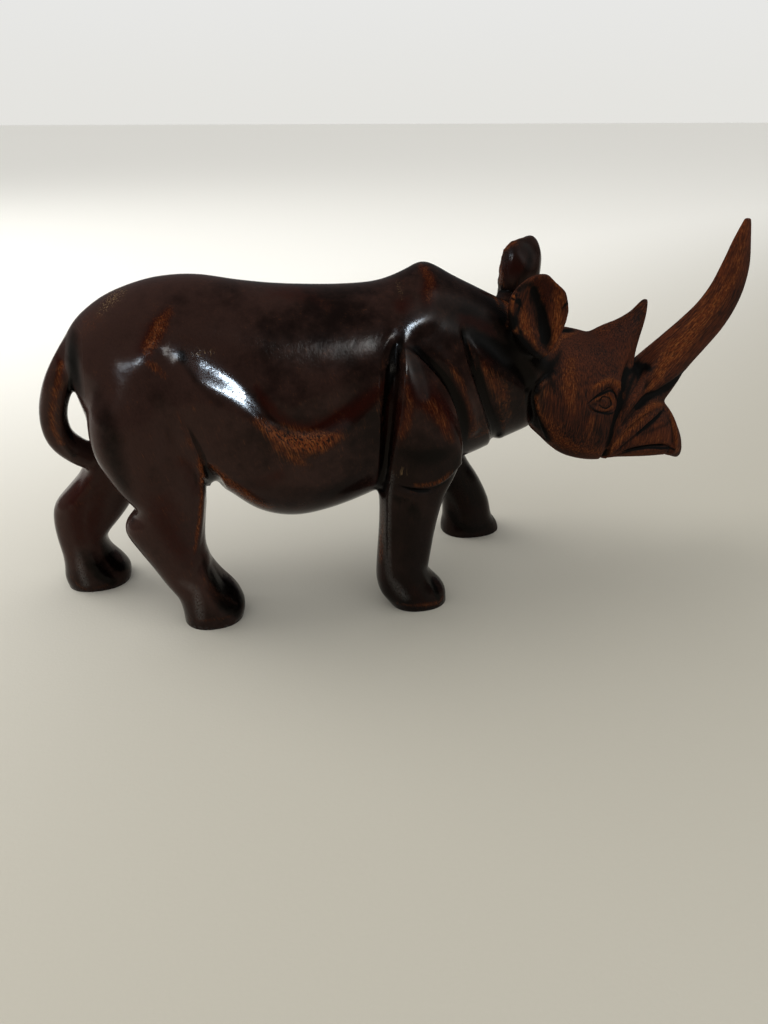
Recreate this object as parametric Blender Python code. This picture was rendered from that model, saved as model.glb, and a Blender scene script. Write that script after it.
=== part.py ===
"""Rhinoceros figurine, carved from one block of hardwood and stained dark.

The figure faces +X and stands on its four feet at Z = 0. Its near side, the carver's show
side, faces -Y. The forms are given in millimetres of the carver's pattern, a figure
PATTERN_LENGTH long, and three driving dimensions turn them into the real size.
"""
import math

import bmesh
import bpy
import numpy as np
from mathutils import Matrix, Vector

# Driving dimensions, in metres
FIGURE_LENGTH = 0.256
FIGURE_WIDTH = 0.068
FIGURE_HEIGHT = 0.125

# The carver's pattern, in millimetres
PATTERN_LENGTH = 256.0
PATTERN_WIDTH = 68.0
PATTERN_HEIGHT = 125.0

# How finely the solid is worked
VOXEL = 0.85
SOFTEN = 3.4
TRIANGLES = 9400
RING_SIDES = 32
STEP_WIDTH = 0.7
FINE_REACH = 1.25
EVENING = 6

# Stain and polish
WOOD_COLOUR = (0.060, 0.022, 0.012, 1.0)
WOOD_ROUGHNESS = 0.32

# Torso and neck: x, bottom, widest height, top, half width, squareness
TORSO = (
    (-41.5, 85.0, 90.5, 96.5, 4.0, 2.0),
    (-38.6, 72.0, 84.0, 101.0, 12.0, 2.0),
    (-34.0, 60.0, 79.0, 105.2, 18.0, 2.1),
    (-26.0, 53.0, 75.0, 109.9, 23.5, 2.1),
    (-13.0, 50.0, 70.0, 113.7, 27.5, 2.2),
    (0.0, 46.4, 66.0, 114.2, 28.8, 2.2),
    (12.0, 35.5, 62.0, 112.0, 29.8, 2.2),
    (24.0, 31.2, 60.0, 110.3, 30.2, 2.2),
    (36.0, 32.0, 61.0, 109.4, 29.6, 2.2),
    (48.0, 35.0, 64.0, 109.0, 28.4, 2.2),
    (59.0, 38.5, 67.0, 109.6, 27.0, 2.1),
    (67.0, 40.5, 69.0, 112.4, 25.6, 1.95),
    (74.5, 42.5, 70.0, 115.4, 24.4, 1.85),
    (84.0, 43.8, 71.0, 110.6, 22.2, 1.85),
    (94.0, 46.8, 72.0, 105.7, 19.8, 1.9),
    (103.0, 50.6, 73.0, 101.2, 17.2, 2.0),
    (112.0, 54.0, 74.0, 96.6, 15.2, 2.1),
    (122.0, 58.0, 74.0, 92.0, 13.0, 2.1),
)

# Head with its jaw and muzzle: the same columns
HEAD = (
    (112.5, 60.0, 72.0, 88.0, 13.6, 2.4),
    (115.0, 57.0, 68.0, 91.0, 15.6, 2.6),
    (120.0, 50.5, 65.0, 91.6, 16.4, 2.7),
    (127.0, 43.8, 63.0, 90.4, 16.6, 2.7),
    (135.0, 40.4, 61.0, 88.4, 16.0, 2.7),
    (143.0, 38.8, 60.0, 85.0, 14.4, 2.7),
    (151.0, 38.8, 58.0, 78.0, 12.8, 2.7),
    (159.0, 38.4, 54.0, 71.0, 12.0, 2.9),
    (166.0, 38.2, 50.0, 64.5, 11.4, 3.0),
    (172.0, 38.0, 48.0, 58.0, 10.4, 3.0),
    (177.0, 36.4, 44.0, 50.5, 8.6, 2.6),
    (180.8, 34.6, 39.0, 43.0, 5.0, 2.2),
)

# Legs: height, rear edge, front edge, middle across, half width
NEAR_HIND_LEG = (
    (88.0, -31.0, -6.0, -12.0, 12.0),
    (78.0, -36.5, -1.0, -13.0, 14.2),
    (69.0, -37.4, 0.0, -14.0, 14.6),
    (62.0, -36.2, -1.0, -15.0, 14.0),
    (51.0, -31.2, -2.6, -16.0, 12.6),
    (44.0, -26.4, -4.0, -16.5, 11.4),
    (38.5, -31.6, -4.8, -17.0, 10.4),
    (30.0, -28.2, -5.8, -17.0, 9.4),
    (23.0, -24.6, -4.8, -17.0, 9.0),
    (16.0, -21.2, -1.2, -17.2, 9.2),
    (10.0, -17.6, 3.2, -17.6, 10.2),
    (4.5, -16.4, 5.2, -18.0, 10.8),
    (0.0, -16.2, 4.4, -18.0, 10.4),
    (-4.0, -16.0, 3.6, -18.0, 9.8),
)
FAR_HIND_LEG = (
    (84.0, -31.0, -8.0, 12.0, 12.0),
    (72.0, -36.5, -6.0, 13.0, 14.2),
    (62.0, -39.0, -9.0, 14.0, 13.6),
    (54.0, -41.6, -16.0, 14.8, 12.2),
    (48.5, -45.0, -20.0, 15.2, 11.4),
    (44.0, -47.8, -23.0, 15.4, 11.0),
    (39.5, -52.0, -26.5, 15.8, 10.4),
    (33.5, -57.6, -30.0, 16.0, 9.8),
    (27.0, -59.2, -35.0, 16.0, 9.2),
    (19.5, -59.1, -41.6, 16.0, 8.8),
    (13.5, -58.6, -41.2, 16.0, 9.0),
    (8.5, -58.8, -37.8, 16.2, 9.8),
    (4.0, -59.4, -35.6, 16.4, 10.4),
    (0.0, -58.8, -36.2, 16.4, 10.0),
    (-4.0, -58.0, -37.0, 16.4, 9.4),
)
NEAR_FORE_LEG = (
    (96.0, 57.5, 63.0, -17.0, 5.0),
    (88.0, 56.0, 67.5, -19.5, 8.2),
    (78.0, 54.8, 73.6, -21.6, 9.8),
    (68.0, 54.0, 78.6, -22.6, 10.0),
    (59.0, 53.4, 81.8, -23.2, 9.8),
    (52.0, 53.0, 81.4, -23.4, 9.4),
    (42.0, 53.2, 76.2, -23.8, 9.0),
    (31.0, 53.0, 73.2, -24.2, 8.6),
    (19.0, 52.2, 71.2, -24.6, 8.6),
    (14.0, 52.0, 70.6, -24.7, 8.8),
    (10.0, 52.0, 72.8, -24.8, 9.2),
    (5.0, 53.2, 76.8, -25.0, 9.8),
    (0.0, 56.6, 77.4, -25.0, 9.6),
    (-4.0, 58.6, 78.2, -25.0, 9.0),
)
FAR_FORE_LEG = (
    (92.0, 62.0, 70.0, 19.0, 5.0),
    (82.0, 61.0, 77.0, 21.0, 8.4),
    (70.0, 62.0, 84.0, 22.0, 9.6),
    (58.0, 65.5, 90.0, 22.4, 9.6),
    (46.0, 73.0, 94.6, 22.4, 9.2),
    (34.0, 81.5, 99.6, 22.4, 8.6),
    (25.0, 87.0, 105.2, 22.4, 8.6),
    (15.0, 90.6, 110.0, 22.4, 8.8),
    (7.0, 91.6, 112.0, 22.6, 9.6),
    (3.0, 91.0, 114.6, 22.6, 10.0),
    (0.0, 91.0, 115.6, 22.6, 9.8),
    (-4.0, 91.6, 115.8, 22.6, 9.0),
)
LEG_SQUARENESS = 2.3

# Horns and tail: path point x, y, z, half depth in the side view, half thickness across
FRONT_HORN = (
    (151.0, 0.0, 55.0, 12.0, 11.0),
    (158.4, 0.0, 61.4, 11.4, 10.4),
    (165.4, 0.0, 69.4, 10.4, 8.8),
    (171.8, 0.0, 77.2, 9.2, 7.2),
    (179.2, 0.0, 84.6, 8.4, 6.0),
    (185.4, 0.0, 91.6, 7.8, 5.4),
    (189.8, 0.0, 99.8, 7.0, 4.8),
    (191.9, 0.0, 108.8, 5.8, 3.9),
    (192.5, 0.0, 117.2, 3.8, 2.7),
    (193.2, 0.0, 125.4, 1.3, 1.2),
)
REAR_HORN = (
    (138.0, 0.0, 66.0, 19.0, 13.6),
    (142.6, 0.0, 75.4, 15.0, 11.0),
    (147.2, 0.0, 82.4, 10.4, 8.0),
    (151.8, 0.0, 88.0, 6.0, 5.2),
    (155.0, 0.0, 92.6, 3.5, 3.1),
    (157.4, 0.0, 98.3, 1.3, 1.2),
)
TAIL = (
    (-33.0, 0.0, 97.0, 7.0, 6.0),
    (-40.4, 0.0, 89.2, 5.4, 5.6),
    (-46.0, 0.0, 81.2, 4.6, 5.0),
    (-49.0, 0.4, 72.4, 4.3, 4.6),
    (-48.8, 2.0, 64.0, 4.4, 4.6),
    (-45.2, 6.0, 57.2, 4.6, 4.8),
    (-39.0, 10.0, 51.0, 4.6, 5.0),
)
HORN_SQUARENESS = 1.55
REAR_HORN_SQUARENESS = 1.9
TAIL_SQUARENESS = 2.2
CROWN_SQUARENESS = 2.1

# An ear's bowl, from the middle of its back round the rim to the middle of its cup:
# share of the outline, distance out of the rim's plane
EAR_BOWL = (
    (0.25, -8.6),
    (0.55, -7.5),
    (0.82, -5.3),
    (0.96, -2.8),
    (1.0, -1.0),
    (0.985, 0.1),
    (0.93, 0.2),
    (0.85, -0.5),
    (0.6, -1.9),
    (0.3, -2.8),
)

# Ears: middle, half width, height, lean, turn, side, squareness, narrowing downwards, then the
# carver's flat cuts across the top, each a point and the way it faces
NEAR_EAR = (
    (107.0, -21.0, 99.6), 10.4, 28.6, -9.0, 6.0, -1, 2.3, 0.34,
    (((99.6, 108.6), (-0.62, 0.78)), ((105.0, 112.9), (0.0, 1.0)),
     ((112.6, 110.0), (0.66, 0.75))),
)
FAR_EAR = (
    (114.0, 19.0, 103.4), 8.8, 34.0, 7.0, 18.0, 1, 3.2, 0.42,
    (((109.4, 116.7), (-0.66, 0.75)), ((116.0, 118.9), (-0.17, 0.98))),
)

# Carved lines, drawn in the side view: the side they are on, the kind of cut, then rows of
# x, z, depth and reach to either side. A step or swell raises what lies left of its travel.
LINES = (
    # Groove behind the near shoulder, its crisp front lip, and the shoulder's front edge
    ("near", "hollow", (
        (60.0, 96.5, 0.3, 2.6), (58.2, 91.5, 2.2, 3.4), (56.7, 85.0, 3.6, 4.0),
        (55.8, 77.0, 3.4, 3.4), (55.1, 68.0, 2.6, 2.8), (54.4, 60.0, 2.0, 2.4),
        (53.7, 51.0, 1.6, 2.1), (53.2, 45.0, 0.9, 1.8),
    )),
    ("near", "ridge", (
        (60.6, 93.0, 0.2, 1.8), (60.4, 86.0, 0.7, 2.0), (60.2, 79.0, 0.8, 2.0),
        (59.0, 69.0, 0.7, 2.0), (57.2, 59.0, 0.4, 2.0), (56.0, 52.0, 0.2, 2.0),
    )),
    ("near", "step", (
        (80.4, 55.0, 0.6, 5.0), (81.2, 60.5, 1.1, 5.5), (80.6, 66.0, 1.4, 6.0),
        (79.2, 71.0, 1.5, 6.0), (77.2, 75.8, 1.6, 6.0), (74.7, 80.2, 1.6, 6.0),
        (71.6, 84.4, 1.4, 5.5), (68.0, 88.2, 1.1, 5.0), (64.6, 91.6, 0.7, 4.0),
        (60.6, 94.4, 0.2, 3.0),
    )),
    ("near", "ridge", (
        (74.0, 90.0, 0.2, 3.0), (77.6, 85.0, 0.8, 3.2), (80.8, 79.5, 0.9, 3.2),
        (84.0, 72.0, 0.9, 3.2), (87.6, 62.0, 0.5, 3.2),
    )),
    # Elbow: the upper arm overhangs the shin, with a short slit under it
    ("near", "step", (
        (56.0, 49.5, 0.2, 4.0), (62.0, 48.6, 0.7, 4.5), (68.0, 48.2, 0.8, 4.5),
        (74.0, 49.6, 0.8, 4.5), (79.6, 53.0, 0.6, 4.0),
    )),
    ("near", "cut", (
        (58.4, 49.4, 0.2, 0.7), (61.6, 48.2, 0.7, 0.8), (65.2, 47.2, 0.8, 0.8),
        (68.8, 46.9, 0.3, 0.7),
    )),
    # Fold across the neck, and the hollow under the mane
    ("near", "hollow", (
        (83.4, 95.0, 0.3, 2.0), (85.2, 89.6, 1.0, 2.6), (87.2, 84.0, 1.3, 2.9),
        (89.4, 78.4, 1.5, 3.0), (91.7, 72.6, 1.6, 3.1), (94.2, 67.0, 1.7, 3.2),
        (97.0, 61.0, 1.8, 3.2), (99.4, 55.0, 1.8, 3.0), (100.6, 50.0, 1.4, 2.8),
    )),
    ("near", "cut", (
        (82.6, 97.0, 0.3, 1.3), (83.4, 92.4, 0.8, 1.4), (84.6, 86.8, 1.0, 1.5),
        (86.4, 81.6, 1.2, 1.6), (88.4, 76.2, 1.2, 1.6), (90.6, 70.8, 1.2, 1.6),
        (93.0, 65.2, 1.2, 1.6), (96.2, 58.6, 1.2, 1.6), (98.4, 52.0, 1.0, 1.6),
    )),
    ("both", "hollow", (
        (86.0, 95.5, 0.8, 5.0), (92.0, 92.0, 1.5, 6.5), (98.0, 87.0, 1.9, 7.0),
        (104.0, 81.0, 1.6, 6.0), (108.0, 75.0, 1.0, 4.0),
    )),
    # Hump and shoulder boss
    ("both", "ridge", (
        (74.0, 112.0, 0.5, 5.0), (73.2, 107.0, 0.8, 5.5), (70.5, 101.5, 0.7, 6.0),
        (64.5, 99.0, 0.8, 6.0), (60.5, 97.0, 0.3, 5.0),
    )),
    # Lower edge of the rib plane, from the hip down to the belly and up to the shoulder
    ("both", "swell", (
        (54.4, 87.0, 0.4, 8.0), (51.4, 82.0, 1.4, 10.0), (46.6, 76.8, 1.9, 12.0),
        (40.9, 72.8, 2.1, 13.0), (32.6, 68.8, 2.2, 13.0), (24.7, 68.2, 2.2, 13.0),
        (18.7, 72.0, 2.3, 9.0), (13.8, 77.8, 2.0, 11.0), (9.8, 82.4, 1.8, 14.0),
        (5.2, 86.2, 1.9, 16.0), (-1.5, 90.4, 1.7, 17.0), (-6.3, 94.0, 0.9, 15.0),
        (-10.6, 97.0, 0.2, 10.0),
    )),
    # Hip boss and the muscles of the near thigh
    ("near", "ridge", (
        (-14.0, 84.0, 0.6, 15.0), (-4.0, 80.0, 1.4, 16.0), (6.0, 72.0, 1.2, 14.0),
        (12.0, 66.0, 0.3, 10.0),
    )),
    ("near", "ridge", (
        (-8.0, 105.0, 0.2, 7.0), (-12.0, 100.0, 0.6, 7.5), (-14.8, 95.4, 1.0, 8.0),
        (-16.2, 90.0, 0.6, 8.0), (-18.0, 82.0, 0.4, 8.0), (-19.8, 72.0, 0.5, 7.5),
        (-20.8, 60.0, 0.3, 6.0),
    )),
    ("near", "ridge", (
        (-15.5, 95.6, 0.3, 6.0), (-20.0, 93.2, 0.6, 6.5), (-25.6, 89.6, 0.5, 7.0),
        (-31.0, 84.0, 0.1, 7.0),
    )),
    ("near", "hollow", (
        (-7.0, 99.5, 0.1, 5.0), (-6.6, 94.0, 0.6, 6.0), (-8.4, 87.0, 0.4, 6.0),
        (-11.6, 80.0, 0.3, 5.5), (-13.2, 70.0, 0.5, 5.5), (-14.4, 58.0, 0.2, 5.0),
    )),
    ("near", "step", (
        (-2.2, 50.0, 0.7, 4.0), (-3.2, 56.0, 1.2, 5.0), (-4.2, 61.5, 1.4, 6.0),
        (-5.4, 67.0, 1.1, 6.0), (-7.0, 73.0, 0.7, 6.0), (-9.0, 80.0, 0.1, 6.0),
    )),
    ("near", "hollow", ((-2.2, 60.0, 0.4, 2.4), (-0.8, 55.0, 1.6, 3.0), (0.4, 49.0, 1.6, 3.0))),
    ("near", "ridge", (
        (-4.6, 60.0, 0.3, 1.8), (-5.2, 51.6, 0.7, 1.9), (-6.5, 42.4, 0.8, 1.9),
        (-7.9, 35.0, 0.6, 1.9), (-9.4, 29.0, 0.2, 2.0),
    )),
    ("near", "cut", (
        (-4.6, 58.0, 0.2, 0.9), (-3.6, 54.0, 1.2, 1.0), (-3.0, 50.0, 1.8, 1.2),
        (-2.8, 45.0, 1.8, 1.4),
    )),
    # Near feet: the instep is scooped and the toe's outer edge left standing
    ("near", "ridge", (
        (-6.6, 25.0, 0.3, 2.6), (-7.9, 20.4, 0.8, 2.6), (-7.0, 15.0, 0.9, 2.6),
        (-5.4, 10.4, 0.8, 2.6), (-4.0, 5.0, 0.3, 2.6),
    )),
    ("near", "hollow", ((-3.0, 21.0, 0.8, 3.6), (-0.2, 13.5, 1.4, 4.4), (1.8, 6.5, 0.7, 3.6))),
    ("near", "ridge", (
        (55.6, 47.0, 0.2, 2.0), (55.4, 38.0, 0.7, 2.2), (55.3, 28.0, 0.7, 2.2),
        (55.6, 19.0, 0.7, 2.2), (57.2, 12.0, 0.6, 2.2), (59.6, 5.0, 0.2, 2.2),
    )),
    ("near", "hollow", (
        (67.2, 17.0, 0.2, 2.2), (69.6, 12.8, 0.6, 2.5), (71.8, 8.6, 0.7, 2.5),
        (73.6, 4.0, 0.3, 2.2),
    )),
    # Faces of the far legs that show between the near ones
    ("inner", "ridge", (
        (-39.5, 52.0, 0.3, 3.0), (-42.0, 46.5, 0.9, 3.2), (-45.4, 40.9, 0.9, 3.2),
        (-49.4, 36.0, 0.4, 3.2),
    )),
    ("inner", "hollow", ((-45.5, 16.0, 0.5, 3.6), (-43.0, 10.5, 1.2, 4.2), (-40.5, 5.0, 0.5, 3.6))),
    ("inner", "hollow", ((90.8, 19.0, 0.4, 3.0), (93.6, 12.0, 1.0, 3.6), (95.4, 5.0, 0.6, 3.6))),
    # Far side, plainer: the same shoulder groove and thigh edge for legs that stride otherwise
    ("far", "hollow", (
        (61.0, 95.0, 0.3, 2.6), (60.2, 86.0, 2.0, 3.6), (61.0, 76.0, 2.6, 3.8),
        (63.0, 66.0, 2.4, 3.6), (66.6, 56.0, 1.6, 3.0),
    )),
    ("far", "step", (
        (92.4, 54.0, 0.5, 5.0), (89.8, 62.0, 1.2, 5.5), (85.6, 71.0, 1.4, 6.0),
        (79.6, 80.0, 1.3, 5.5), (72.0, 88.0, 0.8, 4.5), (64.0, 93.5, 0.2, 3.0),
    )),
    ("far", "step", (
        (-12.0, 56.0, 0.8, 5.0), (-8.6, 62.0, 1.2, 6.0), (-7.0, 69.0, 0.9, 6.0),
        (-8.0, 78.0, 0.2, 6.0),
    )),
    ("far", "ridge", (
        (-8.0, 105.0, 0.2, 5.0), (-14.0, 97.0, 1.3, 6.0), (-19.0, 85.0, 0.7, 6.0),
        (-27.0, 66.0, 0.6, 5.0), (-40.0, 46.0, 0.6, 4.0),
    )),
    ("far", "hollow", (
        (87.0, 93.0, 0.3, 2.2), (90.4, 80.0, 1.2, 2.8), (95.0, 68.0, 1.4, 2.8),
        (100.0, 55.0, 1.2, 2.8),
    )),
    # Tail: a ridge down its side, and a crease where it leaves the rump
    ("near", "ridge", (
        (-40.2, 91.0, 0.3, 2.2), (-42.6, 85.0, 0.8, 2.2), (-44.8, 79.6, 1.0, 2.2),
        (-46.4, 74.6, 1.1, 2.2), (-47.3, 69.6, 1.1, 2.2), (-47.3, 64.0, 0.9, 2.2),
        (-45.8, 58.6, 0.4, 2.2),
    )),
    ("both", "hollow", ((-38.0, 95.0, 0.5, 2.4), (-37.9, 91.0, 1.4, 2.6), (-38.6, 86.6, 1.2, 2.2))),
    # Near ear: the valley down the middle of its cup
    ("near", "hollow", (
        (102.6, 110.5, 0.6, 3.6), (105.4, 105.0, 2.0, 4.4), (107.8, 100.0, 2.4, 4.6),
        (109.6, 94.0, 1.6, 4.0), (110.4, 90.0, 0.4, 3.0),
    )),
    # Cheek plate, standing proud of the neck
    ("both", "step", (
        (119.0, 79.0, 0.3, 3.0), (115.0, 77.0, 1.0, 4.5), (112.0, 74.0, 1.5, 5.0),
        (111.0, 70.0, 1.8, 5.0), (112.8, 64.0, 1.8, 5.0), (115.8, 58.0, 1.6, 4.5),
        (120.0, 51.0, 1.0, 4.0),
    )),
    # Eye: a lozenge of lids round a ringed ball, under a brow
    ("both", "hollow", ((133.4, 66.2, 0.2, 2.4), (138.2, 66.4, 0.7, 3.4), (142.4, 66.0, 0.3, 2.6))),
    ("both", "cut", (
        (130.4, 65.9, 0.2, 0.6), (133.6, 68.2, 0.7, 0.7), (137.2, 70.0, 0.9, 0.75),
        (140.9, 70.9, 0.9, 0.75), (143.2, 68.0, 0.8, 0.7), (144.4, 64.6, 0.3, 0.6),
    )),
    ("both", "cut", (
        (130.8, 65.6, 0.2, 0.6), (133.2, 63.6, 0.5, 0.7), (138.2, 62.3, 0.7, 0.7),
        (142.8, 62.4, 0.6, 0.7), (144.2, 64.2, 0.3, 0.6),
    )),
    ("both", "ridge", ((138.2, 66.2, 0.8, 2.0), (138.8, 66.2, 0.8, 2.0))),
    ("both", "cut", (
        (136.2, 65.6, 0.25, 0.55), (137.0, 68.0, 0.4, 0.6), (139.4, 68.7, 0.4, 0.6),
        (141.2, 66.8, 0.4, 0.6), (140.4, 64.5, 0.4, 0.6), (137.8, 64.0, 0.3, 0.55),
    )),
    ("both", "ridge", (
        (132.0, 71.0, 0.2, 2.0), (136.0, 72.8, 0.6, 2.4), (141.0, 73.6, 0.8, 2.4),
        (145.2, 71.4, 0.7, 2.2), (147.4, 67.2, 0.3, 1.8),
    )),
    # Valley between cheek and muzzle, and the notch it ends in under the jaw
    ("both", "hollow", (
        (153.0, 82.0, 0.3, 2.4), (150.6, 77.0, 1.6, 3.2), (147.6, 71.4, 2.2, 3.4),
        (145.6, 65.5, 2.0, 3.0), (144.6, 59.5, 1.7, 2.9), (143.7, 53.5, 1.5, 2.8),
        (143.2, 47.3, 1.2, 2.4), (144.2, 41.6, 0.8, 1.8),
    )),
    ("both", "cut", ((144.0, 45.0, 0.5, 1.2), (144.7, 41.0, 1.4, 1.4), (145.2, 36.0, 1.4, 1.4))),
    # Ridge running from the horn's side down to the lips, and the hollow under the horn
    ("both", "ridge", (
        (166.0, 81.5, 0.2, 2.4), (162.6, 76.6, 1.0, 2.3), (159.2, 72.0, 1.6, 2.3),
        (155.0, 68.8, 1.7, 2.3), (151.1, 65.8, 1.7, 2.2), (148.0, 62.0, 1.5, 2.0),
        (145.8, 57.6, 1.0, 1.8), (144.4, 53.0, 0.3, 1.6),
    )),
    ("both", "hollow", (
        (176.0, 71.0, 0.4, 2.4), (169.4, 68.0, 1.3, 2.8), (163.4, 66.0, 1.8, 2.8),
        (157.4, 64.4, 1.8, 2.4), (153.0, 61.4, 1.5, 2.0), (149.6, 57.8, 1.0, 1.6),
        (147.0, 53.6, 0.3, 1.4),
    )),
    # Lips: a slanting band, a recessed flat behind the front strip, and the slit of the mouth
    ("both", "ridge", (
        (144.6, 47.0, 0.3, 1.4), (145.8, 51.2, 0.8, 1.6), (148.6, 55.0, 1.0, 1.7),
        (152.4, 58.0, 1.1, 1.8), (157.0, 60.4, 1.1, 1.8), (162.0, 61.6, 1.0, 1.8),
        (166.6, 61.0, 0.6, 1.8),
    )),
    ("both", "step", (
        (146.6, 41.0, 0.4, 2.6), (147.8, 44.6, 0.9, 3.4), (150.6, 48.2, 1.3, 4.2),
        (154.8, 52.0, 1.5, 4.8), (159.2, 55.6, 1.6, 5.0), (163.4, 58.0, 1.5, 4.6),
        (167.0, 59.2, 0.8, 3.0),
    )),
    ("both", "step", (
        (167.4, 59.4, 0.5, 2.4), (170.3, 56.3, 1.0, 3.2), (172.0, 52.0, 1.2, 3.6),
        (173.2, 46.6, 1.2, 3.4), (174.2, 41.0, 0.8, 2.6),
    )),
    ("both", "step", ((171.4, 43.6, 0.4, 2.4), (162.6, 44.8, 0.8, 3.0), (152.0, 43.2, 0.4, 2.6))),
    ("both", "cut", (
        (150.4, 42.6, 0.3, 1.0), (155.6, 44.2, 1.2, 1.2), (162.6, 44.7, 1.6, 1.3),
        (168.2, 44.5, 1.5, 1.2), (171.6, 43.4, 0.8, 1.1),
    )),
    ("both", "cut", ((171.8, 43.0, 0.6, 1.0), (172.8, 39.6, 1.2, 1.2), (173.6, 35.0, 1.2, 1.3))),
)


def to_metres(point):
    """A pattern point at its real size."""
    return Vector((
        point[0] * FIGURE_LENGTH / PATTERN_LENGTH,
        point[1] * FIGURE_WIDTH / PATTERN_WIDTH,
        point[2] * FIGURE_HEIGHT / PATTERN_HEIGHT,
    ))


def eased_rows(rows, steps):
    """The rows with Catmull-Rom rows between them, steps to each span."""
    table = np.array(rows, float)
    padded = np.vstack((2 * table[0] - table[1], table, 2 * table[-1] - table[-2]))
    eased = []
    for i in range(1, len(padded) - 2):
        a, b, c, d = padded[i - 1:i + 3]
        for t in np.arange(steps) / steps:
            eased.append(0.5 * (
                2 * b + (c - a) * t + (2 * a - 5 * b + 4 * c - d) * t ** 2
                + (3 * b - a - 3 * c + d) * t ** 3
            ))
    eased.append(table[-1])
    return eased


def corner_of(angle, squareness):
    """Where a superellipse of half width and half height 1 lies at an angle."""
    c, s = math.cos(angle), math.sin(angle)
    power = 2.0 / squareness
    return math.copysign(abs(c) ** power, c), math.copysign(abs(s) ** power, s)


def add_ring(form, place):
    """A closed ring of corners, each put where place says for its angle."""
    ring = bmesh.ops.create_circle(form, segments=RING_SIDES, radius=1.0)["verts"]
    for corner in ring:
        corner.co = place(math.atan2(corner.co.y, corner.co.x))
    return sorted({edge for corner in ring for edge in corner.link_edges}, key=lambda e: e.index)


def loft(form, places):
    """A closed skin over rings, one for each place function."""
    rings = [add_ring(form, place) for place in places]
    for first, second in zip(rings, rings[1:]):
        bmesh.ops.bridge_loops(form, edges=first + second)
    for end in (rings[0], rings[-1]):
        bmesh.ops.contextual_create(form, geom=end)


def upright_place(row):
    """A cross-section of the torso or head, square to X, its upper half no squarer than a crown."""
    x, bottom, widest, top, half_width, squareness = row

    def place(angle):
        upper = min(squareness, CROWN_SQUARENESS)
        across, up = corner_of(angle, upper if math.sin(angle) > 0 else squareness)
        rise = (top - widest) if up > 0 else (widest - bottom)
        return Vector((x, half_width * across, widest + rise * up))
    return place


def level_place(row):
    """A cross-section of a leg, square to Z."""
    z, rear, front, middle, half_width = row

    def place(angle):
        along, across = corner_of(angle, LEG_SQUARENESS)
        return Vector((
            (rear + front) / 2 + (front - rear) / 2 * along, middle + half_width * across, z,
        ))
    return place


def path_places(rows, squareness):
    """Cross-sections square to a path in the side view, as for a horn or the tail."""
    table = np.array(rows)
    places = []
    for i, row in enumerate(table):
        ahead, behind = table[min(i + 1, len(table) - 1)], table[max(i - 1, 0)]
        run = Vector((ahead - behind)[:3]).normalized()
        side = Vector((0.0, 1.0, 0.0))
        depth = run.cross(side).normalized()
        side = depth.cross(run)

        def place(angle, row=row, side=side, depth=depth):
            along, across = corner_of(angle, squareness)
            return Vector(row[:3]) + depth * row[3] * along + side * row[4] * across
        places.append(place)
    return places


def ear(form, middle, half_width, height, lean, turn, side, squareness, narrow, cuts):
    """An ear's bowl. Its cup faces outwards on the side given, -1 near or 1 far."""
    pose = (
        Matrix.Translation(middle)
        @ Matrix.Rotation(side * math.radians(turn), 4, "Z")
        @ Matrix.Rotation(math.radians(lean), 4, "Y")
    )

    def outline(angle):
        across, up = corner_of(angle, 2.0 if math.sin(angle) < 0 else squareness)
        taper = 1.0 - narrow * max(-up, 0.0)
        return half_width * across * taper, height / 2 * up

    def place_at(share, out):
        def place(angle):
            across, up = outline(angle)
            return pose @ Vector((across * share, side * out, up * share))
        return place

    piece = bmesh.new()
    loft(piece, [place_at(share, out) for share, out in EAR_BOWL])
    for (x, z), (facing_x, facing_z) in cuts:
        cut = bmesh.ops.bisect_plane(
            piece, geom=piece.verts[:] + piece.edges[:] + piece.faces[:],
            plane_co=(x, 0, z), plane_no=(facing_x, 0, facing_z), clear_outer=True,
        )["geom_cut"]
        edges = [part for part in cut if isinstance(part, bmesh.types.BMEdge)]
        bmesh.ops.holes_fill(piece, edges=edges)
    mesh = bpy.data.meshes.new("ear")
    piece.to_mesh(mesh)
    piece.free()
    form.from_mesh(mesh)
    bpy.data.meshes.remove(mesh)


def ellipsoid(form, middle, radii):
    pose = Matrix.Translation(middle) @ Matrix.Diagonal((*radii, 1.0))
    bmesh.ops.create_icosphere(form, subdivisions=3, radius=1.0, matrix=pose)


def rough_forms():
    """All the forms of the figure, overlapping one another."""
    form = bmesh.new()
    for rows, steps in ((TORSO, 3), (HEAD, 3)):
        loft(form, [upright_place(row) for row in eased_rows(rows, steps)])
    for rows in (NEAR_HIND_LEG, FAR_HIND_LEG, NEAR_FORE_LEG, FAR_FORE_LEG):
        loft(form, [level_place(row) for row in eased_rows(rows, 3)])
    for rows, squareness in (
        (FRONT_HORN, HORN_SQUARENESS), (REAR_HORN, REAR_HORN_SQUARENESS), (TAIL, TAIL_SQUARENESS),
    ):
        loft(form, path_places(eased_rows(rows, 4), squareness))
    ear(form, *NEAR_EAR)
    ear(form, *FAR_EAR)
    ellipsoid(form, (108.0, -12.5, 92.0), (6.5, 7.0, 7.0))
    ellipsoid(form, (109.0, 12.5, 93.0), (6.5, 7.0, 8.0))
    bmesh.ops.recalc_face_normals(form, faces=form.faces)
    mesh = bpy.data.meshes.new("rough_forms")
    form.to_mesh(mesh)
    form.free()
    return mesh


def settle(figure):
    """Applies the figure's modifiers."""
    bpy.context.view_layer.update()
    graph = bpy.context.evaluated_depsgraph_get()
    settled = bpy.data.meshes.new_from_object(figure.evaluated_get(graph))
    figure.modifiers.clear()
    figure.data = settled


def fuse(figure):
    remesh = figure.modifiers.new("Fuse", "REMESH")
    remesh.mode = "VOXEL"
    remesh.voxel_size = VOXEL
    settle(figure)


def points_of(mesh):
    flat = np.empty(len(mesh.vertices) * 3)
    mesh.vertices.foreach_get("co", flat)
    return flat.reshape(-1, 3)


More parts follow.
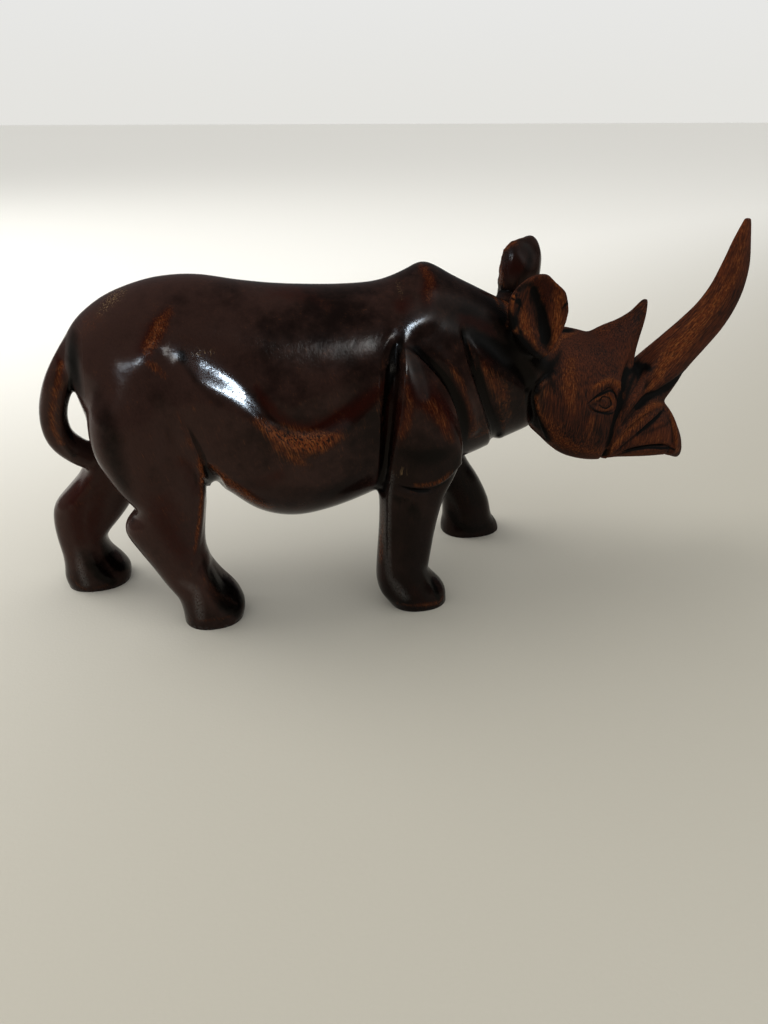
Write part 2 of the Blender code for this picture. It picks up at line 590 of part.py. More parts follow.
def soft_share(points):
    """How far each point may be softened: fully on the body, hardly on thin forms."""
    x, y, z = points.T
    body = np.clip((108.0 - x) / 10.0, 0.0, 1.0) * np.clip((x + 46.0) / 6.0, 0.0, 1.0)
    foot = np.clip((z - 6.0) / 30.0, 0.0, 1.0)
    brow = np.hypot((x - 139.0) / 26.0, (z - 76.0) / 26.0)
    skull = np.clip(1.4 - 1.4 * brow, 0.0, 1.0) * np.clip((100.0 - z - 0.5 * np.abs(y)) / 8.0, 0.0, 1.0)
    return np.maximum(0.08 + 0.92 * body * foot, 0.45 * skull)


def soften(figure):
    group = figure.vertex_groups.new(name="soft")
    for i, share in enumerate(soft_share(points_of(figure.data))):
        group.add([i], float(share), "REPLACE")
    smooth = figure.modifiers.new("Soften", "SMOOTH")
    smooth.factor = 0.5
    smooth.iterations = round(4 * (SOFTEN / VOXEL) ** 2)
    smooth.vertex_group = group.name
    settle(figure)


def facing_share(side, points, normals):
    """How much each point looks out of the side that a line is drawn on."""
    out, across = normals[:, 1], points[:, 1]
    shares = {
        "near": np.clip((0.25 - out) / 0.45, 0.0, 1.0) * (across < 1.0),
        "far": np.clip((0.25 + out) / 0.45, 0.0, 1.0) * (across > -1.0),
        "inner": np.clip((0.25 - out) / 0.45, 0.0, 1.0) * (across > 4.0),
    }
    shares["both"] = np.maximum(shares["near"], shares["far"])
    return shares[side]


def line_depths(kind, rows, points):
    """How far a carved line moves each point outwards."""
    table = np.array(eased_rows(rows, 4))
    low = table[:, :2].min(0) - table[:, 3].max()
    high = table[:, :2].max(0) + table[:, 3].max()
    flat = points[:, (0, 2)]
    touched = np.flatnonzero(((flat > low) & (flat < high)).all(1))
    start, run = table[:-1], table[1:] - table[:-1]
    offset = flat[touched, None] - start[None, :, :2]
    length = (run[:, :2] ** 2).sum(1)
    along = np.clip((offset * run[:, :2]).sum(2) / length, 0.0, 1.0)
    away = offset - along[:, :, None] * run[:, :2]
    distance = np.hypot(away[:, :, 0], away[:, :, 1])
    best = distance.argmin(1)
    pick = np.arange(len(touched))
    gap = distance[pick, best]
    share = along[pick, best][:, None]
    depth, reach = (start[best] + share * run[best])[:, 2:].T
    left = run[best, 0] * offset[pick, best, 1] - run[best, 1] * offset[pick, best, 0] > 0
    near = np.clip(1.0 - gap / reach, 0.0, 1.0)
    turn = np.where(left, 1.0, -1.0)
    moved = {
        "hollow": -0.5 * (1.0 - np.cos(math.pi * near)),
        "ridge": 0.5 * (1.0 - np.cos(math.pi * near)),
        "cut": -near ** 1.2,
        "step": turn * np.tanh(gap / STEP_WIDTH) * near ** 2,
        "swell": turn * np.tanh(gap / (0.26 * reach)) * near ** 1.5,
    }[kind]
    depths = np.zeros(len(points))
    depths[touched] = depth * moved
    return depths


def even_normals(mesh):
    """The points' normals, evened out over their neighbours."""
    normals = np.empty(len(mesh.vertices) * 3)
    mesh.vertices.foreach_get("normal", normals)
    normals = normals.reshape(-1, 3)
    edges = np.empty(len(mesh.edges) * 2, int)
    mesh.edges.foreach_get("vertices", edges)
    first, second = edges.reshape(-1, 2).T
    for _ in range(EVENING):
        total = normals.copy()
        for axis in range(3):
            total[:, axis] += np.bincount(first, normals[second, axis], len(normals))
            total[:, axis] += np.bincount(second, normals[first, axis], len(normals))
        normals = total / np.linalg.norm(total, axis=1)[:, None]
    return normals


def refine(figure):
    """Gives the mesh more points along the finer carved lines."""
    form = bmesh.new()
    form.from_mesh(figure.data)
    points = points_of(figure.data)
    wanted = np.zeros(len(points), bool)
    for side, kind, rows in LINES:
        if min(row[3] for row in rows) < FINE_REACH:
            wider = [(x, z, 1.0, reach + VOXEL) for x, z, depth, reach in rows]
            wanted |= line_depths("ridge", wider, points) > 0
    form.verts.ensure_lookup_table()
    edges = [edge for edge in form.edges if all(wanted[corner.index] for corner in edge.verts)]
    bmesh.ops.subdivide_edges(form, edges=edges, cuts=1, use_grid_fill=True, smooth=0.0)
    bmesh.ops.triangulate(form, faces=form.faces)
    form.to_mesh(figure.data)
    form.free()


def carve(figure):
    """Cuts the carved lines into the figure."""
    points = points_of(figure.data)
    normals = even_normals(figure.data)
    moved = np.zeros(len(points))
    for side, kind, rows in LINES:
        moved += facing_share(side, points, normals) * line_depths(kind, rows, points)
    figure.data.vertices.foreach_set("co", (points + normals * moved[:, None]).ravel())
    figure.data.update()
    relax = figure.modifiers.new("Relax", "SMOOTH")
    relax.factor = 0.4
    relax.iterations = 1
    settle(figure)


def flatten_soles(figure):
    """Cuts the four feet off level at Z = 0 and closes the cuts."""
    form = bmesh.new()
    form.from_mesh(figure.data)
    cut = bmesh.ops.bisect_plane(
        form, geom=form.verts[:] + form.edges[:] + form.faces[:],
        plane_co=(0, 0, 0), plane_no=(0, 0, 1), clear_inner=True,
    )["geom_cut"]
    edges = [part for part in cut if isinstance(part, bmesh.types.BMEdge)]
    bmesh.ops.holes_fill(form, edges=edges)
    bmesh.ops.triangulate(form, faces=form.faces)
    form.to_mesh(figure.data)
    form.free()


def thin_out(figure):
    figure.data.calc_loop_triangles()
    decimate = figure.modifiers.new("Thin", "DECIMATE")
    decimate.ratio = TRIANGLES / len(figure.data.loop_triangles)
    settle(figure)


def size_and_centre(figure):
    """Brings the pattern to its real size, with the origin under the middle of its box."""
    points = np.array([to_metres(point) for point in points_of(figure.data)])
    middle = (points.min(0) + points.max(0)) / 2
    points -= (middle[0], middle[1], 0.0)
    figure.data.vertices.foreach_set("co", points.ravel())
    figure.data.update()


def wood():
    material = bpy.data.materials.new("stained_wood")
    material.use_nodes = True
    shader = material.node_tree.nodes["Principled BSDF"]
    shader.inputs["Base Color"].default_value = WOOD_COLOUR
    shader.inputs["Roughness"].default_value = WOOD_ROUGHNESS
    shader.inputs["Metallic"].default_value = 0.0
    return material


def main():
    for old in list(bpy.data.objects):
        bpy.data.objects.remove(old)
    figure = bpy.data.objects.new("rhinoceros", rough_forms())
    bpy.context.scene.collection.objects.link(figure)
    fuse(figure)
    soften(figure)
    refine(figure)
    carve(figure)
    thin_out(figure)
    flatten_soles(figure)
    size_and_centre(figure)
    figure.data.materials.clear()
    figure.data.materials.append(wood())
    figure.data.shade_smooth()


if __name__ == "__main__":
    main()
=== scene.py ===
"""Rhinoceros figurine, carved from one block of hardwood, stained dark and rubbed to a polish.

The figure faces +X and stands on its four feet at Z = 0. Its forms and its stain are given in
millimetres of the carver's pattern, a figure PATTERN_LENGTH long. The near side faces -Y.
"""
import math

import bmesh
import bpy
import numpy as np
from mathutils import Matrix, Vector


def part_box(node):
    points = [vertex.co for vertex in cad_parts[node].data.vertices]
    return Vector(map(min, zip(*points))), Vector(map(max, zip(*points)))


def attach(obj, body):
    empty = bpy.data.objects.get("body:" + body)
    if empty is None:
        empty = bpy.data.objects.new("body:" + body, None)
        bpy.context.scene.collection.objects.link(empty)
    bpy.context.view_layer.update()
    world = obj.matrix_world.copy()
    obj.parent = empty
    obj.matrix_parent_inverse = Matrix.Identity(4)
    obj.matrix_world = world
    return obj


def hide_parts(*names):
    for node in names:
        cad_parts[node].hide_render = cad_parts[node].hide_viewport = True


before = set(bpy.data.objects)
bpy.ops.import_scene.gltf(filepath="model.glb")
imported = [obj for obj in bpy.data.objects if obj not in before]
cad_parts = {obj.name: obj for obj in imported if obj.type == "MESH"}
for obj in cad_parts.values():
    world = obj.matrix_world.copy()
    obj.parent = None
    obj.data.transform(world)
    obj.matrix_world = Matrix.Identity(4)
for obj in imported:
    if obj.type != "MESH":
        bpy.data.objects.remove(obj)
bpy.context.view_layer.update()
LOW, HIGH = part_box("rhinoceros")

bl_info = {
    "name": "Carved Rhinoceros",
    "version": (1, 0, 0),
    "blender": (4, 5, 0),
    "location": "View3D > Sidebar > Rhinoceros",
    "description": "Carves, stains and polishes a hardwood rhinoceros figurine and lights it",
    "category": "Add Mesh",
}

MILLIMETRE = 0.001

# The carver's pattern, in millimetres
PATTERN_LENGTH = 256.0
PATTERN_WIDTH = 68.0
PATTERN_HEIGHT = 125.0

# How finely the figure is worked: the sides of a ring, the steps from row to row of the body and
# legs and of a path, the passes that even out normals and edges, and the reaches in millimetres
# under which a carved line gets a finer mesh, once and then twice
RING_SIDES = 48
FORM_STEPS = 3
PATH_STEPS = 4
NORMAL_PASSES = 12
EDGE_PASSES = 24
FINE_REACH = 1.3
FINEST_REACH = 0.75

# How sharply a step and a swell turn over, the first in millimetres, the second against its reach
STEP_WIDTH = 0.6
SWELL_SHARE = 0.26

# Torso and neck: x, bottom, widest height, top, half width, squareness
TORSO = (
    (-41.5, 85.0, 90.5, 96.5, 4.0, 2.0),
    (-38.6, 72.0, 84.0, 101.0, 12.0, 2.0),
    (-34.0, 60.0, 79.0, 105.2, 18.0, 2.1),
    (-26.0, 53.0, 75.0, 109.9, 23.5, 2.1),
    (-13.0, 50.0, 70.0, 113.7, 27.5, 2.2),
    (0.0, 46.4, 66.0, 114.2, 28.8, 2.2),
    (12.0, 35.5, 62.0, 112.0, 29.8, 2.2),
    (24.0, 31.2, 60.0, 110.3, 30.2, 2.2),
    (36.0, 32.0, 61.0, 109.4, 29.6, 2.2),
    (48.0, 35.0, 64.0, 109.0, 28.4, 2.2),
    (59.0, 38.5, 67.0, 109.6, 27.0, 2.1),
    (67.0, 40.5, 69.0, 112.4, 25.6, 1.95),
    (74.5, 42.5, 70.0, 115.4, 24.4, 1.85),
    (84.0, 43.8, 71.0, 110.6, 22.2, 1.85),
    (94.0, 46.8, 72.0, 105.7, 19.8, 1.9),
    (103.0, 50.6, 73.0, 101.2, 17.2, 2.0),
    (112.0, 54.0, 74.0, 96.6, 15.2, 2.1),
    (122.0, 58.0, 74.0, 92.0, 13.0, 2.1),
)

# Head with its jaw and muzzle: the same columns
HEAD = (
    (112.5, 60.0, 72.0, 88.0, 13.6, 2.4),
    (115.0, 57.0, 68.0, 91.0, 15.6, 2.6),
    (120.0, 50.5, 65.0, 91.6, 16.4, 2.7),
    (127.0, 43.8, 63.0, 90.4, 16.6, 2.7),
    (135.0, 40.4, 61.0, 88.4, 16.0, 2.7),
    (143.0, 38.8, 60.0, 85.0, 14.4, 2.7),
    (151.0, 38.8, 58.0, 78.0, 12.8, 2.7),
    (159.0, 38.4, 54.0, 71.0, 12.0, 2.9),
    (166.0, 38.2, 50.0, 64.5, 11.4, 3.0),
    (172.0, 38.0, 48.0, 58.0, 10.4, 3.0),
    (177.0, 36.4, 44.0, 50.5, 8.6, 2.6),
    (180.8, 34.6, 39.0, 43.0, 5.0, 2.2),
)

# Legs: height, rear edge, front edge, middle across, half width
NEAR_HIND_LEG = (
    (88.0, -31.0, -6.0, -12.0, 12.0),
    (78.0, -36.5, -1.0, -13.0, 14.2),
    (69.0, -37.4, 0.0, -14.0, 14.6),
    (62.0, -36.2, -1.0, -15.0, 14.0),
    (51.0, -31.2, -2.6, -16.0, 12.6),
    (44.0, -26.4, -4.0, -16.5, 11.4),
    (38.5, -31.6, -4.8, -17.0, 10.4),
    (30.0, -28.2, -5.8, -17.0, 9.4),
    (23.0, -24.6, -4.8, -17.0, 9.0),
    (16.0, -21.2, -1.2, -17.2, 9.2),
    (10.0, -17.6, 3.2, -17.6, 10.2),
    (4.5, -16.4, 5.2, -18.0, 10.8),
    (0.0, -16.2, 4.4, -18.0, 10.4),
    (-4.0, -16.0, 3.6, -18.0, 9.8),
)
FAR_HIND_LEG = (
    (84.0, -31.0, -8.0, 12.0, 12.0),
    (72.0, -36.5, -6.0, 13.0, 14.2),
    (62.0, -39.0, -9.0, 14.0, 13.6),
    (54.0, -41.6, -16.0, 14.8, 12.2),
    (48.5, -45.0, -20.0, 15.2, 11.4),
    (44.0, -47.8, -23.0, 15.4, 11.0),
    (39.5, -52.0, -26.5, 15.8, 10.4),
    (33.5, -57.6, -30.0, 16.0, 9.8),
    (27.0, -59.2, -35.0, 16.0, 9.2),
    (19.5, -59.1, -41.6, 16.0, 8.8),
    (13.5, -58.6, -41.2, 16.0, 9.0),
    (8.5, -58.8, -37.8, 16.2, 9.8),
    (4.0, -59.4, -35.6, 16.4, 10.4),
    (0.0, -58.8, -36.2, 16.4, 10.0),
    (-4.0, -58.0, -37.0, 16.4, 9.4),
)
NEAR_FORE_LEG = (
    (96.0, 57.5, 63.0, -17.0, 5.0),
    (88.0, 56.0, 67.5, -19.5, 8.2),
    (78.0, 54.8, 73.6, -21.6, 9.8),
    (68.0, 54.0, 78.6, -22.6, 10.0),
    (59.0, 53.4, 81.8, -23.2, 9.8),
    (52.0, 53.0, 81.4, -23.4, 9.4),
    (42.0, 53.2, 76.2, -23.8, 9.0),
    (31.0, 53.0, 73.2, -24.2, 8.6),
    (19.0, 52.2, 71.2, -24.6, 8.6),
    (14.0, 52.0, 70.6, -24.7, 8.8),
    (10.0, 52.0, 72.8, -24.8, 9.2),
    (5.0, 53.2, 76.8, -25.0, 9.8),
    (0.0, 56.6, 77.4, -25.0, 9.6),
    (-4.0, 58.6, 78.2, -25.0, 9.0),
)
FAR_FORE_LEG = (
    (92.0, 62.0, 70.0, 19.0, 5.0),
    (82.0, 61.0, 77.0, 21.0, 8.4),
    (70.0, 62.0, 84.0, 22.0, 9.6),
    (58.0, 65.5, 90.0, 22.4, 9.6),
    (46.0, 73.0, 94.6, 22.4, 9.2),
    (34.0, 81.5, 99.6, 22.4, 8.6),
    (25.0, 87.0, 105.2, 22.4, 8.6),
    (15.0, 90.6, 110.0, 22.4, 8.8),
    (7.0, 91.6, 112.0, 22.6, 9.6),
    (3.0, 91.0, 114.6, 22.6, 10.0),
    (0.0, 91.0, 115.6, 22.6, 9.8),
    (-4.0, 91.6, 115.8, 22.6, 9.0),
)
LEG_SQUARENESS = 2.3

# Horns and tail: path point x, y, z, half depth in the side view, half thickness across
FRONT_HORN = (
    (151.0, 0.0, 55.0, 12.0, 11.0),
    (158.4, 0.0, 61.4, 11.4, 10.4),
    (165.4, 0.0, 69.4, 10.4, 8.8),
    (171.8, 0.0, 77.2, 9.2, 7.2),
    (179.2, 0.0, 84.6, 8.4, 6.0),
    (185.4, 0.0, 91.6, 7.8, 5.4),
    (189.8, 0.0, 99.8, 7.0, 4.8),
    (191.9, 0.0, 108.8, 5.8, 3.9),
    (192.5, 0.0, 117.2, 3.8, 2.7),
    (193.2, 0.0, 125.4, 1.3, 1.2),
)
REAR_HORN = (
    (138.0, 0.0, 66.0, 19.0, 13.6),
    (142.6, 0.0, 75.4, 15.0, 11.0),
    (147.2, 0.0, 82.4, 10.4, 8.0),
    (151.8, 0.0, 88.0, 6.0, 5.2),
    (155.0, 0.0, 92.6, 3.5, 3.1),
    (157.0, 0.0, 97.2, 1.7, 1.6),
    (157.9, 0.0, 98.9, 0.7, 0.7),
)
TAIL = (
    (-33.0, 0.0, 97.0, 7.0, 6.0),
    (-40.4, 0.0, 89.2, 5.4, 5.6),
    (-46.0, 0.0, 81.2, 4.6, 5.0),
    (-49.0, 0.4, 72.4, 4.3, 4.6),
    (-48.8, 2.0, 64.0, 4.4, 4.6),
    (-45.2, 6.0, 57.2, 4.6, 4.8),
    (-39.0, 10.0, 51.0, 4.6, 5.0),
)
HORN_SQUARENESS = 1.55
REAR_HORN_SQUARENESS = 1.9
TAIL_SQUARENESS = 2.2
CROWN_SQUARENESS = 2.1

# An ear's bowl, from the middle of its back round the rim to the middle of its cup:
# share of the outline, distance out of the rim's plane
EAR_BOWL = (
    (0.25, -8.6),
    (0.55, -7.5),
    (0.82, -5.3),
    (0.96, -2.8),
    (1.0, -1.0),
    (0.985, 0.1),
    (0.93, 0.2),
    (0.85, -0.5),
    (0.6, -1.9),
    (0.3, -2.8),
)

# Ears: middle, half width, height, lean, turn, side, squareness, narrowing downwards, then the
# carver's flat cuts across the top, each a point and the way it faces
NEAR_EAR = (
    (107.0, -21.0, 99.6), 10.4, 28.6, -9.0, 6.0, -1, 2.3, 0.34,
    (((99.6, 108.6), (-0.62, 0.78)), ((105.0, 112.9), (0.0, 1.0)),
     ((112.6, 110.0), (0.66, 0.75))),
)
FAR_EAR = (
    (114.0, 19.0, 103.4), 8.8, 34.0, 7.0, 18.0, 1, 3.2, 0.42,
    (((109.4, 116.7), (-0.66, 0.75)), ((116.0, 118.9), (-0.17, 0.98))),
)

# Knobs that carry the ears: middle, radii
EAR_ROOTS = (
    ((108.0, -12.5, 92.0), (6.5, 7.0, 7.0)),
    ((109.0, 12.5, 93.0), (6.5, 7.0, 8.0)),
)

# Carved lines, drawn in the side view: the side they are on, the kind of cut, then rows of
# x, z, depth and reach to either side. A step or swell raises what lies left of its travel.
LINES = (
    # Groove behind the near shoulder, its crisp front lip, and the shoulder's front edge
    ("near", "hollow",
     (60.0, 96.5, 0.3, 2.6), (58.2, 91.5, 2.2, 3.4), (56.7, 85.0, 3.6, 4.0), (55.8, 77.0, 3.4, 3.4),
     (55.1, 68.0, 2.6, 2.8), (54.4, 60.0, 2.0, 2.4), (53.7, 51.0, 1.6, 2.1),
     (53.2, 45.0, 0.9, 1.8)),
    ("near", "ridge",
     (60.6, 93.0, 0.2, 1.8), (60.4, 86.0, 0.7, 2.0), (60.2, 79.0, 0.8, 2.0), (59.0, 69.0, 0.7, 2.0),
     (57.2, 59.0, 0.4, 2.0), (56.0, 52.0, 0.2, 2.0)),
    ("near", "step",
     (80.4, 55.0, 0.6, 5.0), (81.2, 60.5, 1.1, 5.5), (80.6, 66.0, 1.4, 6.0), (79.2, 71.0, 1.5, 6.0),
     (77.2, 75.8, 1.6, 6.0), (74.7, 80.2, 1.6, 6.0), (71.6, 84.4, 1.4, 5.5), (68.0, 88.2, 1.1, 5.0),
     (64.6, 91.6, 0.7, 4.0), (60.6, 94.4, 0.2, 3.0)),
    ("near", "ridge",
     (74.0, 90.0, 0.2, 3.0), (77.6, 85.0, 0.8, 3.2), (80.8, 79.5, 0.9, 3.2), (84.0, 72.0, 0.9, 3.2),
     (87.6, 62.0, 0.5, 3.2)),
    # Elbow: the upper arm overhangs the shin, with a short slit under it
    ("near", "step",
     (56.0, 49.5, 0.2, 4.0), (62.0, 48.6, 0.7, 4.5), (68.0, 48.2, 0.8, 4.5), (74.0, 49.6, 0.8, 4.5),
     (79.6, 53.0, 0.6, 4.0)),
    ("near", "cut",
     (58.4, 49.4, 0.2, 0.7), (61.6, 48.2, 0.7, 0.8), (65.2, 47.2, 0.8, 0.8),
     (68.8, 46.9, 0.3, 0.7)),
    # Fold across the neck, and the hollow under the mane
    ("near", "hollow",
     (83.4, 95.0, 0.3, 2.0), (85.2, 89.6, 1.0, 2.6), (87.2, 84.0, 1.3, 2.9), (89.4, 78.4, 1.5, 3.0),
     (91.7, 72.6, 1.6, 3.1), (94.2, 67.0, 1.7, 3.2), (97.0, 61.0, 1.8, 3.2), (99.4, 55.0, 1.8, 3.0),
     (100.6, 50.0, 1.4, 2.8)),
    ("near", "cut",
     (82.6, 97.0, 0.3, 1.3), (83.4, 92.4, 0.8, 1.4), (84.6, 86.8, 1.0, 1.5), (86.4, 81.6, 1.2, 1.6),
     (88.4, 76.2, 1.2, 1.6), (90.6, 70.8, 1.2, 1.6), (93.0, 65.2, 1.2, 1.6), (96.2, 58.6, 1.2, 1.6),
     (98.4, 52.0, 1.0, 1.6)),
    ("both", "hollow",
     (86.0, 95.5, 0.8, 5.0), (92.0, 92.0, 1.5, 6.5), (98.0, 87.0, 1.9, 7.0),
     (104.0, 81.0, 1.6, 6.0), (108.0, 75.0, 1.0, 4.0)),
    # Hump and shoulder boss
    ("both", "ridge",
     (74.0, 112.0, 0.5, 5.0), (73.2, 107.0, 0.8, 5.5), (70.5, 101.5, 0.7, 6.0),
     (64.5, 99.0, 0.8, 6.0), (60.5, 97.0, 0.3, 5.0)),
    # Lower edge of the rib plane, from the hip down to the belly and up to the shoulder
    ("both", "swell",
     (54.4, 87.0, 0.4, 8.0), (51.4, 82.0, 1.4, 10.0), (46.6, 76.8, 1.9, 12.0),
     (40.9, 72.8, 2.1, 13.0), (32.6, 68.8, 2.2, 13.0), (24.7, 68.2, 2.2, 13.0),
     (18.7, 72.0, 2.3, 9.0), (13.8, 77.8, 2.0, 11.0), (9.8, 82.4, 1.8, 14.0),
     (5.2, 86.2, 1.9, 16.0), (-1.5, 90.4, 1.7, 17.0), (-6.3, 94.0, 0.9, 15.0),
     (-10.6, 97.0, 0.2, 10.0)),
    # Hip boss and the muscles of the near thigh
    ("near", "ridge",
     (-14.0, 84.0, 0.6, 15.0), (-4.0, 80.0, 1.4, 16.0), (6.0, 72.0, 1.2, 14.0),
     (12.0, 66.0, 0.3, 10.0)),
    ("near", "ridge",
     (-8.0, 105.0, 0.2, 7.0), (-12.0, 100.0, 0.6, 7.5), (-14.8, 95.4, 1.0, 8.0),
     (-16.2, 90.0, 0.6, 8.0), (-18.0, 82.0, 0.4, 8.0), (-19.8, 72.0, 0.5, 7.5),
     (-20.8, 60.0, 0.3, 6.0)),
    ("near", "ridge",
     (-15.5, 95.6, 0.2, 7.0), (-20.0, 93.2, 0.45, 7.5), (-25.6, 89.6, 0.4, 8.0),
     (-31.0, 84.0, 0.1, 8.0)),
    ("near", "hollow",
     (-7.0, 99.5, 0.1, 5.0), (-6.6, 94.0, 0.6, 6.0), (-8.4, 87.0, 0.4, 6.0),
     (-11.6, 80.0, 0.3, 5.5), (-13.2, 70.0, 0.5, 5.5), (-14.4, 58.0, 0.2, 5.0)),
    ("near", "step",
     (-2.2, 50.0, 0.7, 4.0), (-3.2, 56.0, 1.2, 5.0), (-4.2, 61.5, 1.4, 6.0), (-5.4, 67.0, 1.1, 6.0),
     (-7.0, 73.0, 0.7, 6.0), (-9.0, 80.0, 0.1, 6.0)),
    ("near", "hollow",
     (-2.2, 60.0, 0.4, 2.4), (-0.8, 55.0, 1.6, 3.0), (0.4, 49.0, 1.6, 3.0)),
    ("near", "ridge",
     (-4.6, 60.0, 0.3, 1.8), (-5.2, 51.6, 0.7, 1.9), (-6.5, 42.4, 0.8, 1.9), (-7.9, 35.0, 0.6, 1.9),
     (-9.4, 29.0, 0.2, 2.0)),
    ("near", "cut",
     (-4.6, 58.0, 0.2, 0.9), (-3.6, 54.0, 1.2, 1.0), (-3.0, 50.0, 1.8, 1.2),
     (-2.8, 45.0, 1.8, 1.4)),
    # Near feet: the instep is scooped and the toe's outer edge left standing
    ("near", "ridge",
     (-6.6, 25.0, 0.3, 2.6), (-7.9, 20.4, 0.8, 2.6), (-7.0, 15.0, 0.9, 2.6), (-5.4, 10.4, 0.8, 2.6),
     (-4.0, 5.0, 0.3, 2.6)),
    ("near", "hollow",
     (-3.0, 21.0, 0.8, 3.6), (-0.2, 13.5, 1.4, 4.4), (1.8, 6.5, 0.7, 3.6)),
    ("near", "ridge",
     (55.6, 47.0, 0.2, 2.0), (55.4, 38.0, 0.7, 2.2), (55.3, 28.0, 0.7, 2.2), (55.6, 19.0, 0.7, 2.2),
     (57.2, 12.0, 0.6, 2.2), (59.6, 5.0, 0.2, 2.2)),
    ("near", "hollow",
     (67.2, 17.0, 0.2, 2.2), (69.6, 12.8, 0.6, 2.5), (71.8, 8.6, 0.7, 2.5), (73.6, 4.0, 0.3, 2.2)),
    # Faces of the far legs that show between the near ones
    ("inner", "ridge",
     (-39.5, 52.0, 0.3, 3.0), (-42.0, 46.5, 0.9, 3.2), (-45.4, 40.9, 0.9, 3.2),
     (-49.4, 36.0, 0.4, 3.2)),
    ("inner", "hollow",
     (-45.5, 16.0, 0.5, 3.6), (-43.0, 10.5, 1.2, 4.2), (-40.5, 5.0, 0.5, 3.6)),
    ("inner", "hollow",
     (90.8, 19.0, 0.4, 3.0), (93.6, 12.0, 1.0, 3.6), (95.4, 5.0, 0.6, 3.6)),
    # Far side, plainer: the same shoulder groove and thigh edge for legs that stride otherwise
    ("far", "hollow",
     (61.0, 95.0, 0.3, 2.6), (60.2, 86.0, 2.0, 3.6), (61.0, 76.0, 2.6, 3.8), (63.0, 66.0, 2.4, 3.6),
     (66.6, 56.0, 1.6, 3.0)),
    ("far", "step",
     (92.4, 54.0, 0.5, 5.0), (89.8, 62.0, 1.2, 5.5), (85.6, 71.0, 1.4, 6.0), (79.6, 80.0, 1.3, 5.5),
     (72.0, 88.0, 0.8, 4.5), (64.0, 93.5, 0.2, 3.0)),
    ("far", "step",
     (-12.0, 56.0, 0.8, 5.0), (-8.6, 62.0, 1.2, 6.0), (-7.0, 69.0, 0.9, 6.0),
     (-8.0, 78.0, 0.2, 6.0)),
    ("far", "ridge",
     (-8.0, 105.0, 0.2, 5.0), (-14.0, 97.0, 1.3, 6.0), (-19.0, 85.0, 0.7, 6.0),
     (-27.0, 66.0, 0.6, 5.0), (-40.0, 46.0, 0.6, 4.0)),
    ("far", "hollow",
     (87.0, 93.0, 0.3, 2.2), (90.4, 80.0, 1.2, 2.8), (95.0, 68.0, 1.4, 2.8),
     (100.0, 55.0, 1.2, 2.8)),
    # Tail: a ridge down its side, and a crease where it leaves the rump
    ("near", "ridge",
     (-40.2, 91.0, 0.3, 2.2), (-42.6, 85.0, 0.8, 2.2), (-44.8, 79.6, 1.0, 2.2),
     (-46.4, 74.6, 1.1, 2.2), (-47.3, 69.6, 1.1, 2.2), (-47.3, 64.0, 0.9, 2.2),
     (-45.8, 58.6, 0.4, 2.2)),
    ("both", "hollow",
     (-38.0, 95.0, 0.1, 2.4), (-37.9, 91.0, 0.3, 2.6), (-38.6, 86.6, 0.3, 2.2)),
    # Near ear: the valley down the middle of its cup
    ("near", "hollow",
     (103.6, 110.5, 0.4, 3.6), (106.4, 105.0, 1.3, 4.4), (108.6, 100.0, 1.7, 4.6),
     (110.0, 94.0, 1.2, 4.0), (110.4, 90.0, 0.3, 3.0)),
    # Cheek plate, standing proud of the neck
    ("both", "step",
     (119.0, 79.0, 0.3, 3.0), (115.0, 77.0, 1.0, 4.5), (112.0, 74.0, 1.5, 5.0),
     (111.0, 70.0, 1.8, 5.0), (112.8, 64.0, 1.8, 5.0), (115.8, 58.0, 1.6, 4.5),
     (120.0, 51.0, 1.0, 4.0)),
    # Eye: a lozenge of lids round a ringed ball, under a brow
    ("both", "hollow",
     (133.4, 66.2, 0.2, 2.4), (138.2, 66.4, 0.7, 3.4), (142.4, 66.0, 0.3, 2.6)),
    ("both", "cut",
     (130.4, 65.9, 0.2, 0.6), (133.6, 68.2, 0.7, 0.7), (137.2, 70.0, 0.9, 0.75),
     (140.9, 70.9, 0.9, 0.75), (143.2, 68.0, 0.8, 0.7), (144.4, 64.6, 0.3, 0.6)),
    ("both", "cut",
     (130.8, 65.6, 0.2, 0.6), (133.2, 63.6, 0.5, 0.7), (138.2, 62.3, 0.7, 0.7),
     (142.8, 62.4, 0.6, 0.7), (144.2, 64.2, 0.3, 0.6)),
    ("both", "ridge",
     (138.2, 66.2, 0.8, 2.0), (138.8, 66.2, 0.8, 2.0)),
    ("both", "cut",
     (136.2, 65.6, 0.25, 0.55), (137.0, 68.0, 0.4, 0.6), (139.4, 68.7, 0.4, 0.6),
     (141.2, 66.8, 0.4, 0.6), (140.4, 64.5, 0.4, 0.6), (137.8, 64.0, 0.3, 0.55)),
    ("both", "ridge",
     (132.0, 71.0, 0.2, 2.0), (136.0, 72.8, 0.6, 2.4), (141.0, 73.6, 0.8, 2.4),
     (145.2, 71.4, 0.7, 2.2), (147.4, 67.2, 0.3, 1.8)),
    # Valley between cheek and muzzle, and the notch it ends in under the jaw
    ("both", "hollow",
     (153.0, 82.0, 0.3, 2.4), (150.6, 77.0, 1.4, 3.2), (147.6, 71.4, 1.8, 3.4),
     (145.6, 65.5, 1.5, 3.0), (144.6, 59.5, 1.2, 2.9), (143.7, 53.5, 1.1, 2.8),
     (143.2, 47.3, 1.0, 2.4), (144.2, 41.6, 0.8, 1.8)),
    ("both", "cut",
     (144.0, 45.0, 0.5, 1.2), (144.7, 41.0, 1.4, 1.4), (145.2, 36.0, 1.4, 1.4)),
    # Ridge running from the horn's side down to the lips, and the hollow under the horn
    ("both", "ridge",
     (166.0, 81.5, 0.2, 2.4), (162.6, 76.6, 1.0, 2.3), (159.2, 72.0, 1.6, 2.3),
     (155.0, 68.8, 1.7, 2.3), (151.1, 65.8, 1.7, 2.2), (148.0, 62.0, 1.5, 2.0),
